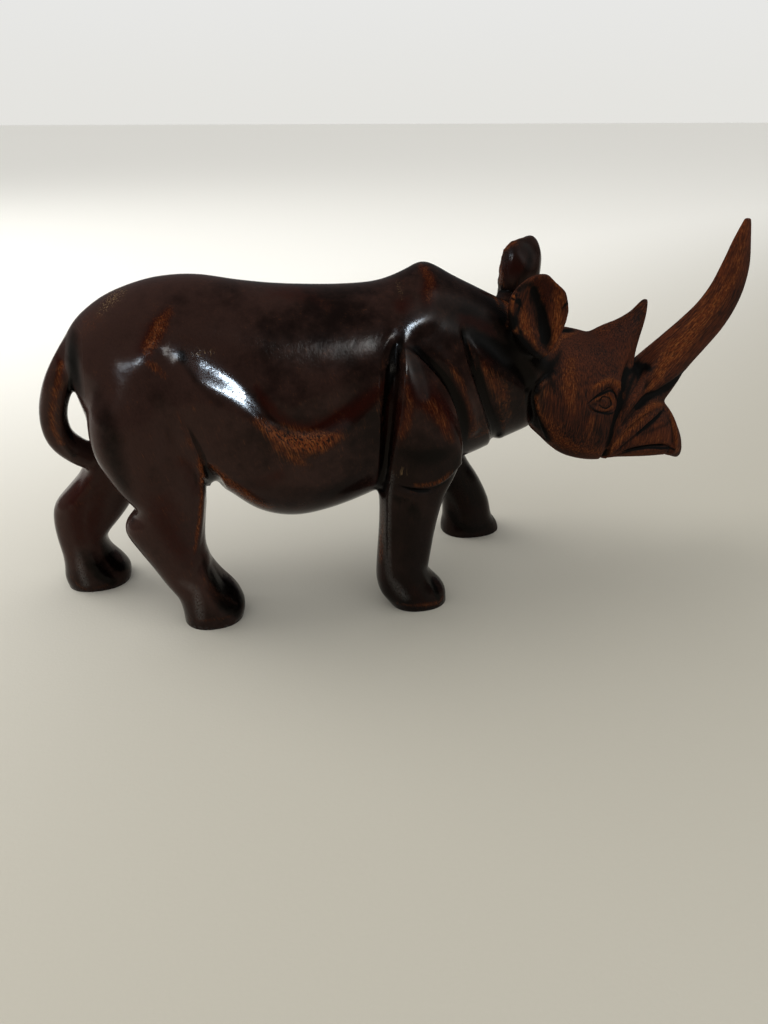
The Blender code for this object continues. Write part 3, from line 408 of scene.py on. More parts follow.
     (145.8, 57.6, 1.0, 1.8), (144.4, 53.0, 0.3, 1.6)),
    ("both", "hollow",
     (176.0, 71.0, 0.4, 2.4), (169.4, 68.0, 1.3, 2.8), (163.4, 66.0, 1.8, 2.8),
     (157.4, 64.4, 1.8, 2.4), (153.0, 61.4, 1.5, 2.0), (149.6, 57.8, 1.0, 1.6),
     (147.0, 53.6, 0.3, 1.4)),
    # Lips: a slanting band, a recessed flat behind the front strip, and the slit of the mouth
    ("both", "ridge",
     (144.6, 47.0, 0.3, 1.4), (145.8, 51.2, 0.8, 1.6), (148.6, 55.0, 1.0, 1.7),
     (152.4, 58.0, 1.1, 1.8), (157.0, 60.4, 1.1, 1.8), (162.0, 61.6, 1.0, 1.8),
     (166.6, 61.0, 0.6, 1.8)),
    ("both", "step",
     (146.6, 41.0, 0.4, 2.6), (147.8, 44.6, 0.9, 3.4), (150.6, 48.2, 1.3, 4.2),
     (154.8, 52.0, 1.5, 4.8), (159.2, 55.6, 1.6, 5.0), (163.4, 58.0, 1.5, 4.6),
     (167.0, 59.2, 0.8, 3.0)),
    ("both", "step",
     (167.4, 59.4, 0.5, 2.4), (170.3, 56.3, 1.0, 3.2), (172.0, 52.0, 1.2, 3.6),
     (173.2, 46.6, 1.2, 3.4), (174.2, 41.0, 0.8, 2.6)),
    ("both", "step",
     (171.4, 43.6, 0.4, 2.4), (162.6, 44.8, 0.8, 3.0), (152.0, 43.2, 0.4, 2.6)),
    ("both", "cut",
     (150.4, 42.6, 0.3, 1.0), (155.6, 44.2, 1.2, 1.2), (162.6, 44.7, 1.6, 1.3),
     (168.2, 44.5, 1.5, 1.2), (171.6, 43.4, 0.8, 1.1)),
    ("both", "cut",
     (171.8, 43.0, 0.6, 1.0), (172.8, 39.6, 1.2, 1.2), (173.6, 35.0, 1.2, 1.3)),
)

# Wear and stain, drawn in the side view: the side they are on, then rows of x, z, strength and
# reach

# Where handling rubbed the stain off the raised parts
WORN = (
    ("near",  # Flank patch
     (13.7, 75.6, 0.4, 2.1), (17.6, 72.0, 0.8, 3.4), (22.4, 69.4, 1, 4.4), (27.0, 67.4, 1.1, 4.8),
     (31.8, 66.6, 1.1, 4.4), (36.0, 67.2, 0.8, 3.4), (39.4, 68.4, 0.4, 2.4)),
    ("near",  # Flank patch, lower end
     (19.0, 67.0, 0.4, 2.6), (24.0, 62.6, 0.5, 2.8), (27.6, 59.6, 0.3, 2.6)),
    ("near",  # Hip streak
     (-15.8, 97.1, 0.5, 2.4), (-13.4, 100.5, 0.6, 2.8), (-10.8, 103.9, 0.55, 2.6),
     (-8.2, 106.7, 0.3, 1.6)),
    ("near",  # Below the hip streak
     (-15.6, 93.9, 0.45, 1.7), (-13.6, 92.0, 0.5, 1.7), (-11.6, 89.8, 0.3, 1.4)),
    ("near",  # Near hind leg, front strip
     (-4.1, 61.4, 0.64, 1.1), (-5.0, 52.1, 0.64, 0.8), (-6.4, 44.3, 0.64, 0.8),
     (-8.3, 35.8, 0.64, 0.8), (-9.7, 29.2, 0.4, 0.8)),
    ("near",  # Above the flank notch
     (-4.7, 66.3, 0.3, 1.2), (-4.1, 61.4, 0.7, 1.5), (-3.6, 56.6, 0.5, 1.2)),
    ("near",  # Belly edge
     (-1.4, 60.6, 0.5, 2.0), (1.4, 56.6, 0.75, 2.6), (5.2, 51.8, 0.8, 3.2), (9.0, 47.4, 0.75, 3.2),
     (13.0, 43.6, 0.6, 2.8), (18.0, 40.4, 0.3, 2.2)),
    ("near",  # Shoulder, rear half
     (60.8, 82.4, 0.28, 1.6), (61.6, 77.2, 0.49, 2.0), (61.2, 72.4, 0.42, 2.0),
     (59.3, 67.1, 0.24, 2.0)),
    ("near",  # Shoulder, front half
     (65.9, 78.4, 0.25, 2.3), (70.0, 74.4, 0.4, 3.0), (73.2, 69.6, 0.42, 3.1),
     (75.8, 63.8, 0.2, 2.4)),
    ("near",  # Elbow ridge
     (63.3, 49.6, 0.6, 1.0), (66.7, 49.3, 0.85, 1.2), (70.6, 49.4, 0.9, 1.6),
     (73.8, 50.6, 0.8, 1.8), (76.1, 52.6, 0.3, 1.4)),
    ("near",  # Elbow nick
     (62.0, 47.2, 0.5, 0.7), (64.0, 46.4, 0.3, 0.7)),
    ("near",  # Ridge before the shoulder
     (75.5, 87.5, 0.18, 1.4), (78.9, 83.4, 0.36, 1.7), (81.5, 79.2, 0.3, 1.7),
     (83.4, 73.6, 0.21, 1.8), (85.6, 66.7, 0.18, 1.8)),
    ("near",  # Neck band
     (89.2, 84.2, 0.25, 2.1), (93.2, 79.3, 0.45, 3.6), (97.5, 73.1, 0.48, 4.0),
     (100.0, 66.7, 0.22, 3.7), (101.0, 59.5, 0.12, 3.4)),
    ("near",  # Throat
     (88.6, 63.6, 0.32, 2.9), (86.4, 59.2, 0.32, 2.9), (94.2, 59.4, 0.24, 1.9)),
    ("near",  # Edge of the neck fold
     (84.5, 92.1, 0.3, 0.7), (86.5, 84.3, 0.5, 0.7), (88.9, 76.0, 0.5, 0.7),
     (94.1, 64.7, 0.4, 0.7)),
    ("both",  # Cheek streaks
     (124.0, 80.6, 0.6, 3.8), (123.6, 75.9, 0.8, 4.2), (123.6, 70.3, 0.7, 3.9),
     (125.0, 64.3, 0.35, 3.1)),
    ("both",  # Cheek plate
     (114.4, 72.2, 0.3, 3.0), (115.4, 64.8, 0.35, 3.5), (118.9, 57.4, 0.5, 4.3),
     (124.3, 50.8, 0.5, 4.0), (131.6, 47.8, 0.4, 3.7), (139.8, 45.8, 0.4, 3.3)),
    ("both",  # Cheek plate's bevel
     (114.4, 75.8, 0.48, 1.0), (111.7, 73.4, 0.72, 1.1), (111.4, 69.4, 0.72, 1.1),
     (113.5, 63.0, 0.72, 1.2), (117.5, 55.1, 0.72, 1.2), (121.7, 49.0, 0.56, 1.2),
     (126.6, 43.9, 0.4, 1.3)),
    ("both",  # Middle of the cheek
     (132.7, 60.4, 0.4, 3.6), (133.0, 54.1, 0.4, 3.6), (132.9, 48.8, 0.3, 3.3)),
    ("both",  # Brow
     (132.7, 71.7, 0.5, 1.4), (136.2, 73.2, 0.8, 1.6), (140.5, 73.6, 0.8, 1.6),
     (146.0, 70.0, 0.8, 1.6), (147.4, 66.3, 0.6, 1.4)),
    ("both",  # Eyelids
     (132.4, 66.4, 0.6, 0.9), (135.2, 67.9, 0.7, 1.0), (139.5, 68.1, 0.7, 1.6),
     (142.7, 64.9, 0.7, 1.2), (139.3, 63.3, 0.7, 1.2), (135.6, 64.5, 0.6, 1.2)),
    ("both",  # Front horn, lower half
     (157.6, 65.4, 0.6, 1.3), (160.7, 69.3, 0.8, 2.1), (163.8, 74.0, 0.9, 3.4),
     (167.7, 78.8, 1, 4.6), (172.9, 83.5, 0.9, 5.0)),
    ("both",  # Front horn, upper half
     (172.9, 83.5, 0.9, 4.6), (178.9, 90.3, 0.8, 4.2), (184.0, 96.9, 0.75, 3.8),
     (187.9, 103.5, 0.65, 3.3), (190.2, 111.0, 0.5, 2.5), (191.5, 119.0, 0.35, 2.1),
     (192.2, 123.6, 0.2, 1.2)),
    ("both",  # Lip band
     (145.3, 42.6, 0.6, 1.3), (145.8, 47.1, 0.9, 2.1), (148.7, 51.1, 1, 2.5), (152.7, 55.4, 1, 2.5),
     (157.0, 59.4, 1, 2.5), (161.4, 61.5, 0.9, 2.1), (167.1, 60.7, 0.6, 1.3)),
    ("both",  # Front strip of the lips
     (170.8, 58.7, 0.6, 1.3), (171.2, 54.7, 0.7, 1.3), (173.1, 48.2, 0.6, 1.3),
     (177.0, 40.1, 0.6, 1.6)),
    ("both",  # Recess behind the front strip
     (157.2, 48.6, 0.4, 3.4), (163.6, 48.8, 0.4, 3.5), (168.2, 46.5, 0.35, 2.6)),
    ("both",  # Lower lip
     (149.0, 40.7, 0.4, 1.1), (156.0, 41.3, 0.5, 1.1), (164.2, 41.2, 0.5, 1.1),
     (173.9, 39.1, 0.4, 1.1)),
    ("near",  # Ear cup, rear wall
     (102.4, 102.7, 0.6, 2.1), (103.1, 98.8, 1, 2.8), (103.6, 95.1, 1, 3.2),
     (105.4, 91.3, 0.9, 2.9), (107.7, 88.8, 0.7, 2.2)),
    ("near",  # Ear cup, middle
     (107.6, 104.6, 0.5, 2.1), (109.0, 99.8, 0.8, 2.5), (108.6, 95.6, 0.6, 1.8)),
    ("near",  # Ear cup, front wall
     (112.4, 107.5, 0.7, 1.7), (113.8, 102.9, 0.8, 2.1), (114.1, 98.4, 1, 2.1),
     (113.4, 93.9, 0.9, 1.8), (112.2, 90.1, 0.8, 1.8)),
    ("near",  # Ear rim
     (98.5, 106.6, 0.7, 0.8), (98.4, 102.1, 0.9, 0.8), (99.5, 96.9, 0.9, 0.8),
     (102.1, 92.3, 1, 0.9), (105.6, 88.9, 1, 0.9), (109.9, 86.9, 1, 0.9), (118.4, 85.6, 0.9, 0.9),
     (121.9, 88.6, 0.8, 0.9), (128.7, 90.6, 0.7, 0.9), (115.7, 103.2, 0.7, 0.8),
     (113.9, 107.6, 0.7, 0.8), (110.8, 111.2, 0.7, 0.8)),
    ("far",  # Far ear's edge
     (106.2, 108.4, 0.4, 1.2), (106.1, 112.5, 0.5, 1.1), (108.1, 115.7, 0.5, 1.1),
     (111.2, 118.1, 0.4, 1.1), (115.6, 119.3, 0.4, 1.0)),
    ("inner",  # Far ear's edge, inner face
     (106.8, 103.4, 0.5, 1.2), (106.2, 108.4, 0.6, 1.2), (106.1, 112.5, 0.6, 1.1),
     (108.1, 115.7, 0.5, 1.1), (111.1, 117.8, 0.4, 1.1)),
    ("near",  # Tail, outer edge
     (-42.3, 90.1, 0.6, 1.4), (-44.3, 85.7, 0.5, 1.4), (-46.5, 80.0, 0.5, 1.5),
     (-48.5, 74.7, 0.6, 1.5), (-49.3, 69.1, 0.5, 1.5), (-48.1, 63.1, 0.4, 1.5)),
    ("far",  # Tail, outer edge on the far side
     (-42.3, 90.1, 0.4, 1.4), (-44.3, 85.7, 0.4, 1.4), (-46.5, 80.0, 0.4, 1.5),
     (-48.5, 74.7, 0.4, 1.5), (-49.3, 69.1, 0.4, 1.5), (-48.1, 63.1, 0.4, 1.5)),
    ("near",  # Near fore leg, rear edge
     (53.4, 41.4, 0.35, 0.9), (53.4, 33.7, 0.6, 0.9), (52.8, 28.6, 0.9, 1.1),
     (52.8, 22.2, 0.7, 1.0), (52.3, 17.7, 0.35, 0.9)),
    ("near",  # Near fore toe rim
     (57.6, 3.7, 0.5, 0.9), (62.3, 3.2, 0.5, 0.9), (67.4, 2.8, 0.9, 1.1), (72.3, 2.3, 0.9, 1.2),
     (75.1, 2.9, 0.5, 0.9)),
    ("near",  # Near hind toe rim
     (-16.0, 1.9, 0.5, 0.8), (-11.2, 4.1, 0.45, 0.8), (-5.8, 4.4, 0.4, 0.7), (-0.3, 4.4, 0.4, 0.7)),
    ("near",  # Near hind toe
     (-5.7, 16.8, 0.25, 1.3), (-3.5, 12.7, 0.4, 2.0), (0.2, 8.6, 0.4, 2.0)),
    ("inner",  # Far hind sole rim
     (-56.5, 6.3, 0.4, 0.8), (-52.8, 1.8, 0.6, 0.9), (-47.8, 1.6, 0.5, 0.8),
     (-42.0, 2.8, 0.4, 0.8)),
    ("near",  # Front of the hump
     (72.4, 113.4, 0.3, 2.0), (72.9, 110.0, 0.35, 2.3), (71.2, 105.8, 0.3, 2.3)),
    ("near",  # Rump edge
     (-45.2, 77.3, 0.0, 0.9), (-36.4, 97.3, 0.15, 2.3), (-28.9, 105.1, 0.15, 2.3)),
    ("near",  # Thigh front edge
     (-9.4, 79.5, 0.15, 1.2), (-7.4, 72.1, 0.2, 1.5), (-5.6, 66.7, 0.3, 1.5)),
    ("both",  # Rear horn edge
     (140.1, 89.0, 0.25, 1.6), (147.9, 92.4, 0.25, 1.6), (154.9, 97.1, 0.35, 1.2),
     (156.9, 93.8, 0.3, 1.2), (156.4, 87.3, 0.25, 1.2)),
)

# Where the stain is thin and shows oxblood
REDDENED = (
    ("near",  # Rib band, front half
     (54.4, 82.4, 0.7, 2.0), (49.2, 78.5, 0.9, 2.9), (43.9, 75.1, 1, 3.2), (38.7, 73.0, 1, 3.2),
     (33.6, 71.8, 0.9, 2.9), (28.5, 71.3, 0.9, 2.8)),
    ("near",  # Rib band, rear half
     (28.5, 71.3, 0.9, 2.8), (23.6, 73.1, 0.9, 2.8), (19.5, 76.6, 1, 2.5), (16.8, 80.5, 1, 2.4),
     (14.7, 84.2, 0.7, 1.8)),
    ("near",  # Shoulder
     (60.9, 83.6, 0.5, 2.6), (64.6, 80.0, 0.8, 3.9), (69.4, 76.6, 0.9, 4.7), (73.8, 71.3, 0.9, 4.1),
     (75.9, 65.1, 0.5, 3.1)),
    ("near",  # Shoulder, low at the rear
     (59.4, 76.2, 0.8, 2.6), (58.8, 70.3, 0.7, 2.6), (57.7, 62.9, 0.5, 2.4)),
    ("near",  # Shoulder groove
     (56.7, 83.8, 0.9, 2.0), (55.9, 78.2, 1, 2.3), (55.1, 71.0, 0.9, 2.3), (54.3, 62.1, 0.8, 2.0),
     (53.7, 52.7, 0.6, 1.7)),
    ("near",  # Top of the neck hollow
     (82.7, 98.9, 1, 2.1), (87.3, 97.7, 1, 2.4), (91.8, 95.4, 0.9, 2.8), (94.0, 91.4, 0.6, 3.2)),
    ("near",  # Near hind shin
     (-19.0, 52.0, 0.5, 5.0), (-17.9, 43.9, 0.8, 5.0), (-14.7, 34.0, 0.8, 4.6),
     (-11.8, 26.1, 0.6, 4.0)),
    ("inner",  # Far hind shin
     (-46.0, 44.0, 0.6, 4.0), (-49.0, 36.0, 0.8, 4.0), (-50.0, 28.0, 0.8, 4.0),
     (-49.2, 21.6, 0.6, 3.6)),
    ("near",  # Inside the neck fold
     (89.9, 90.7, 0.7, 3.5), (93.5, 86.6, 0.6, 3.6), (87.8, 85.6, 0.5, 2.8)),
    ("near",  # Top of the shoulder
     (72.6, 113.9, 0.5, 2.4), (73.5, 110.0, 0.8, 2.7), (71.1, 105.2, 0.7, 3.0),
     (72.4, 100.1, 0.4, 3.0)),
    ("near",  # Shoulder boss
     (62.8, 104.2, 0.7, 2.6), (65.6, 105.2, 0.6, 2.3)),
    ("near",  # Lower neck
     (77.8, 80.0, 0.7, 2.4), (81.5, 72.9, 0.6, 2.8), (85.2, 65.1, 0.5, 3.2)),
    ("near",  # Belly, rear
     (19.3, 56.5, 0.5, 3.2), (13.5, 53.9, 0.5, 3.8), (6.6, 52.0, 0.5, 3.2)),
    ("near",  # Belly, front
     (44.7, 47.1, 0.4, 2.7), (50.5, 47.4, 0.5, 2.8), (53.1, 51.2, 0.5, 2.1)),
    ("near",  # Back
     (22.6, 110.1, 0.35, 2.5), (30.2, 108.7, 0.5, 2.8), (37.6, 106.2, 0.45, 2.8),
     (42.4, 102.6, 0.25, 2.8)),
    ("near",  # Back, front end
     (45.9, 110.1, 0.3, 2.0), (57.1, 109.2, 0.3, 2.1), (64.7, 111.1, 0.3, 2.0)),
    ("near",  # Lower thigh
     (-20.2, 59.1, 0.3, 3.5), (-15.1, 47.6, 0.55, 4.3), (-12.2, 35.3, 0.5, 3.8)),
    ("near",  # Middle of the thigh
     (-15.2, 61.6, 0.3, 3.5), (-9.1, 62.0, 0.5, 3.6), (-6.5, 52.5, 0.6, 2.8)),
    ("inner",  # Far hind leg
     (-31.2, 61.9, 0.5, 3.5), (-41.2, 37.7, 0.6, 4.0), (-45.0, 27.1, 0.9, 3.4),
     (-45.5, 17.0, 0.5, 3.1)),
    ("inner",  # Far hind leg's ridge
     (-32.4, 69.0, 0.6, 2.3), (-41.0, 49.9, 0.6, 2.3), (-46.8, 40.4, 0.6, 2.0)),
    ("near",  # Hip
     (-16.9, 97.6, 0.6, 3.3), (-13.5, 102.0, 0.7, 3.4), (-9.1, 106.3, 0.5, 2.6)),
    ("near",  # Rump
     (-32.8, 96.4, 0.2, 3.4), (-35.9, 87.5, 0.2, 2.8), (-32.8, 74.4, 0.35, 2.3),
     (-31.1, 69.9, 0.5, 2.3)),
    ("near",  # Tail root
     (-44.0, 92.0, 0.7, 1.4), (-42.6, 88.3, 0.8, 1.7), (-44.6, 83.9, 0.5, 1.7)),
    ("near",  # Fore legs, low
     (91.4, 15.7, 0.5, 3.1), (91.2, 3.1, 0.6, 3.2), (71.4, 22.8, 0.5, 2.6), (69.6, 14.4, 0.4, 2.3)),
    ("near",  # Near fore toe
     (61.6, 12.8, 0.4, 2.9), (63.7, 7.8, 0.7, 3.0), (66.7, 4.2, 0.5, 2.3)),
    ("inner",  # Far fore foot
     (94.8, 20.5, 0.7, 4.3), (98.3, 14.8, 0.6, 4.0), (101.9, 10.9, 0.5, 3.6)),
    ("far",  # Far ear
     (111.7, 115.4, 0.5, 3.8), (111.3, 109.0, 0.6, 3.8), (97.8, 107.9, 0.6, 2.7)),
    ("inner",  # Far ear, inner face
     (111.7, 115.4, 0.5, 3.8), (112.0, 110.3, 0.7, 3.8), (98.4, 108.5, 0.6, 2.7)),
    ("near",  # Top of the near ear
     (106.9, 110.7, 0.7, 3.1), (110.2, 107.9, 0.8, 3.1), (109.2, 104.1, 0.6, 3.2)),
    ("both",  # Forehead
     (132.5, 87.4, 0.35, 4.7), (140.0, 84.7, 0.45, 5.1), (148.1, 87.9, 0.4, 4.4),
     (153.0, 93.0, 0.4, 3.2)),
    ("both",  # Cheek
     (118.7, 67.7, 0.35, 4.6), (128.1, 59.4, 0.35, 5.6), (125.1, 52.0, 0.4, 4.8)),
)

# Where the stain pooled in the cut lines, and painted shade in hollows, under the ears, horn and
# cheek, on the belly, haunch and feet
DARKENED_AND_SHADED = (
    ("near",  # Mane hollow, painted shade
     (82.5, 94.7, 0.5, 2.8), (88.4, 92.1, 0.8, 4.2), (95.4, 88.0, 1, 5.4), (101.6, 83.5, 1, 5.5),
     (107.0, 79.0, 1, 5.2), (110.6, 72.9, 1, 3.8)),
    ("near",  # Under the near ear, painted shade
     (101.0, 92.3, 1, 4.3), (106.5, 86.3, 1, 5.1), (113.7, 81.1, 1, 4.5), (118.0, 81.6, 0.8, 3.4),
     (120.5, 84.6, 0.6, 2.3)),
    ("near",  # Neck behind the cheek, painted shade
     (108.5, 77.5, 1, 3.4), (108.6, 71.1, 1, 3.0), (111.9, 63.0, 1, 2.7), (118.6, 52.9, 0.9, 2.5),
     (121.3, 46.9, 0.6, 2.1)),
    ("near",  # Shoulder groove's line
     (59.3, 93.6, 0.6, 1.0), (57.2, 87.5, 0.8, 1.1), (54.4, 77.3, 0.9, 1.0), (53.1, 67.6, 0.9, 1.0),
     (52.9, 56.0, 0.9, 1.0), (53.5, 45.9, 0.8, 1.1)),
    ("near",  # Shoulder groove's top
     (61.9, 96.9, 0.5, 2.3), (59.5, 92.4, 0.9, 2.0), (57.5, 86.2, 0.9, 2.0),
     (55.2, 79.6, 0.6, 1.6)),
    ("near",  # Front of the shoulder, painted shade in the crease
     (66.2, 91.9, 0.7, 2.0), (72.2, 85.7, 0.8, 2.4), (77.2, 79.3, 0.95, 2.8), (81.4, 71.4, 1, 3.2),
     (83.9, 61.9, 1, 2.5), (85.8, 52.8, 0.8, 1.9)),
    ("near",  # Neck fold's line
     (84.2, 92.1, 0.6, 0.7), (85.8, 85.7, 0.9, 0.7), (88.1, 78.1, 1, 0.9), (91.8, 69.1, 1, 0.9),
     (98.5, 56.0, 1, 1.0)),
    ("near",  # Beside the neck fold
     (87.4, 87.6, 0.6, 1.1), (89.5, 79.4, 0.8, 1.4), (92.7, 70.5, 0.9, 1.5), (98.0, 60.5, 1, 1.5),
     (102.3, 52.9, 1, 1.6)),
    ("near",  # Throat
     (105.0, 68.8, 0.4, 3.0), (107.1, 61.8, 0.5, 3.1), (107.1, 55.1, 0.4, 2.8)),
    ("near",  # Top of the neck
     (88.0, 106.0, 0.35, 2.8), (94.3, 102.5, 0.6, 3.2), (98.9, 98.7, 0.9, 3.2),
     (98.7, 97.0, 1, 3.1)),
    ("near",  # Upper arm
     (58.8, 61.5, 0.6, 3.4), (63.8, 59.4, 0.85, 4.7), (70.6, 59.5, 0.85, 4.8),
     (75.8, 59.8, 0.5, 2.8)),
    ("near",  # Top of the upper arm
     (64.7, 80.9, 0.3, 2.3), (67.4, 79.3, 0.5, 2.0)),
    ("near",  # Near fore shin
     (57.1, 44.8, 0.7, 3.1), (61.5, 42.1, 0.8, 4.2), (65.0, 36.5, 0.6, 3.9),
     (62.3, 30.7, 0.3, 3.6)),
    ("near",  # Near fore shin, rear
     (55.7, 36.7, 0.4, 1.8), (55.6, 25.4, 0.35, 1.8), (56.7, 17.1, 0.4, 2.2)),
    ("near",  # Slit under the elbow
     (59.0, 49.0, 0.6, 0.9), (61.7, 48.0, 1, 1.1), (65.2, 47.0, 1, 1.3), (67.9, 46.8, 0.9, 1.1)),
    ("near",  # Notch at the elbow
     (74.8, 55.1, 0.4, 0.7), (77.1, 55.9, 1, 0.8), (78.4, 56.3, 1, 0.8)),
    ("both",  # Cheek valley
     (159.4, 74.7, 0.9, 2.1), (150.4, 73.9, 0.9, 2.2), (147.7, 69.6, 0.7, 1.8),
     (146.2, 64.8, 0.5, 1.7), (144.7, 58.9, 0.45, 1.6), (144.2, 51.8, 0.5, 1.5),
     (145.1, 42.2, 0.7, 1.3)),
    ("both",  # Middle of the cheek valley
     (157.9, 74.8, 0.8, 2.9), (151.7, 72.1, 0.8, 2.5), (148.8, 67.7, 0.7, 2.0),
     (146.6, 62.1, 0.6, 1.6)),
    ("both",  # Under the front horn, painted shade
     (177.1, 71.0, 0.9, 2.6), (171.1, 67.6, 1, 2.6), (165.1, 65.9, 1, 2.1), (159.4, 64.2, 1, 1.7),
     (154.4, 61.5, 0.8, 1.3)),
    ("both",  # Front horn's lower face
     (175.4, 79.9, 0.3, 3.0), (179.0, 84.8, 0.35, 3.0), (184.5, 91.7, 0.3, 2.5),
     (189.0, 99.3, 0.3, 2.1)),
    ("both",  # Corner of the lips' recess
     (164.6, 58.0, 0.9, 2.1), (160.7, 54.5, 0.8, 1.7), (156.9, 51.0, 0.5, 1.7),
     (168.7, 53.7, 0.5, 1.7)),
    ("both",  # Mouth slit
     (150.2, 41.9, 0.6, 0.7), (155.7, 43.9, 1, 0.8), (163.0, 44.3, 1, 0.8), (171.7, 42.9, 1, 0.8),
     (174.5, 41.8, 0.8, 0.8)),
    ("both",  # Along the mouth slit
     (152.6, 43.2, 0.4, 1.3), (158.2, 45.7, 0.4, 1.3), (167.7, 44.7, 0.4, 1.3)),
    ("both",  # Cheek, top rear, painted shade
     (119.4, 78.9, 0.4, 2.7), (115.3, 78.3, 0.7, 2.3), (118.3, 72.0, 0.3, 2.3)),
    ("both",  # Lower cheek
     (135.6, 58.5, 0.35, 3.6), (138.7, 51.5, 0.4, 3.3), (136.6, 47.3, 0.3, 2.9)),
    ("both",  # Line under the eye
     (131.4, 66.1, 0.5, 0.6), (135.1, 63.3, 0.9, 0.6), (139.8, 61.6, 1, 0.6),
     (144.6, 61.5, 0.8, 0.6)),
    ("both",  # Line over the eye
     (131.3, 66.5, 0.5, 0.6), (134.1, 68.3, 0.9, 0.6), (137.8, 69.5, 1, 0.6), (141.1, 69.8, 1, 0.6),
     (144.2, 66.5, 1, 0.6), (145.2, 63.3, 0.6, 0.6)),
    ("both",  # Eye ring
     (136.0, 66.8, 0.8, 0.6), (137.7, 68.1, 0.8, 0.5), (140.4, 67.2, 0.8, 0.5),
     (141.4, 64.8, 0.8, 0.5), (138.8, 63.7, 0.8, 0.5), (136.2, 65.3, 0.8, 0.5)),
    ("both",  # Eye corner
     (132.8, 66.4, 0.5, 0.9), (134.7, 65.8, 0.7, 1.0), (134.9, 67.2, 0.6, 0.8)),
    ("near",  # Valley of the near ear
     (104.6, 109.1, 0.2, 1.4), (107.7, 103.9, 0.35, 1.6), (110.2, 98.7, 0.55, 2.4),
     (111.2, 94.5, 0.75, 2.7), (111.4, 91.0, 0.75, 2.3), (110.9, 88.8, 0.5, 1.4)),
    ("near",  # Top of the near ear, painted shade under the rim
     (100.6, 108.3, 0.7, 2.1), (103.9, 109.9, 0.6, 2.1), (107.3, 105.4, 0.5, 1.8)),
    ("near",  # Line inside the ear's rear rim
     (98.5, 107.3, 0.8, 0.5), (101.2, 104.2, 0.9, 0.6), (100.4, 100.5, 0.7, 0.5),
     (101.2, 96.0, 0.7, 0.5), (103.6, 91.8, 0.6, 0.5)),
    ("near",  # Crack at the ear's rear rim
     (97.2, 106.4, 0.8, 0.5), (100.4, 104.0, 1, 0.6), (103.0, 101.6, 0.5, 0.5)),
    ("near",  # Crack low in the ear
     (99.9, 95.9, 0.7, 0.5), (102.7, 94.3, 0.9, 0.5), (104.9, 94.4, 0.4, 0.5)),
    ("near",  # Nick in the ear's front rim
     (116.4, 104.3, 0.8, 0.8), (115.2, 102.8, 0.9, 0.8), (114.9, 100.8, 0.5, 0.6)),
    ("near",  # Nick low in the ear's front rim
     (129.0, 89.8, 0.8, 0.8), (123.5, 90.3, 0.9, 0.8), (114.6, 92.7, 0.5, 0.6)),
    ("inner",  # Far ear
     (115.0, 117.9, 0.3, 1.9), (116.7, 113.4, 0.5, 2.3), (114.9, 108.9, 0.5, 2.3),
     (108.4, 101.9, 0.4, 2.3), (96.7, 105.4, 0.6, 2.1)),
    ("near",  # Tail, the face towards its loop
     (-39.6, 90.2, 0.7, 1.1), (-40.2, 85.6, 0.95, 1.4), (-43.0, 78.2, 1, 1.5),
     (-44.8, 72.4, 1, 1.5), (-44.6, 65.4, 1, 1.9), (-42.4, 60.1, 0.9, 2.2),
     (-42.0, 55.1, 0.6, 1.9)),
    ("near",  # Lower tail
     (-47.1, 62.2, 0.4, 1.5), (-45.2, 57.1, 0.6, 1.9), (-42.9, 53.7, 0.7, 1.9)),
    ("near",  # Rump
     (-32.3, 86.6, 0.35, 2.5), (-31.9, 80.7, 0.45, 2.8), (-30.1, 76.0, 0.4, 2.8)),
    ("near",  # Flank notch
     (-3.5, 60.3, 0.9, 0.7), (-2.9, 56.7, 1, 1.0), (-2.0, 52.1, 0.9, 1.0), (-0.6, 46.9, 0.4, 0.8)),
    ("near",  # Flank, high up, painted shade
     (-6.4, 95.2, 0.5, 2.3), (-4.6, 91.4, 0.5, 2.3), (-0.6, 85.6, 0.4, 2.6), (3.6, 81.2, 0.4, 2.6)),
    ("near",  # Near hind instep
     (-7.4, 25.4, 0.5, 1.6), (-6.0, 20.5, 0.7, 2.3), (-3.2, 14.8, 0.9, 3.0), (0.6, 10.5, 1, 3.1),
     (3.7, 6.7, 0.9, 2.4)),
    ("near",  # Front of the near hind toe
     (-2.0, 7.9, 0.8, 2.0), (2.0, 5.6, 0.9, 2.1), (3.6, 6.3, 0.9, 1.7)),
    ("inner",  # Far hind instep
     (-43.2, 19.2, 0.4, 2.4), (-42.3, 11.8, 0.9, 2.8), (-39.9, 7.8, 1, 2.8),
     (-36.8, 5.7, 0.9, 2.2)),
    ("inner",  # Far hind thigh
     (-29.0, 56.4, 0.6, 2.3), (-27.8, 52.7, 0.7, 2.4), (-29.6, 60.1, 0.5, 2.3)),
    ("near",  # Near fore toe
     (66.4, 17.6, 0.6, 1.5), (71.2, 7.9, 0.95, 1.9), (72.0, 5.7, 1, 2.1), (72.9, 2.9, 0.8, 1.9)),
    ("near",  # Near fore foot, rear
     (53.7, 13.7, 0.4, 1.5), (55.4, 8.8, 0.5, 1.5), (57.4, 5.8, 0.5, 1.1)),
    ("near",  # Nick in the near fore toe
     (57.9, 3.8, 0.9, 0.8), (59.7, 5.2, 1, 0.8), (61.5, 3.7, 0.8, 0.7)),
    ("inner",  # Far fore foot
     (93.0, 10.5, 0.8, 3.1), (95.7, 6.0, 0.9, 3.6), (101.2, 3.7, 0.8, 3.6), (107.6, 4.4, 0.7, 3.6)),
    ("inner",  # Far fore leg
     (91.5, 23.1, 0.7, 2.2), (96.0, 28.5, 0.5, 3.0), (102.6, 20.4, 0.3, 3.1)),
    ("near",  # Belly, front
     (35.6, 46.7, 0.3, 2.7), (42.6, 46.7, 0.45, 2.7), (48.2, 48.0, 0.3, 2.1)),
    ("near",  # Hock
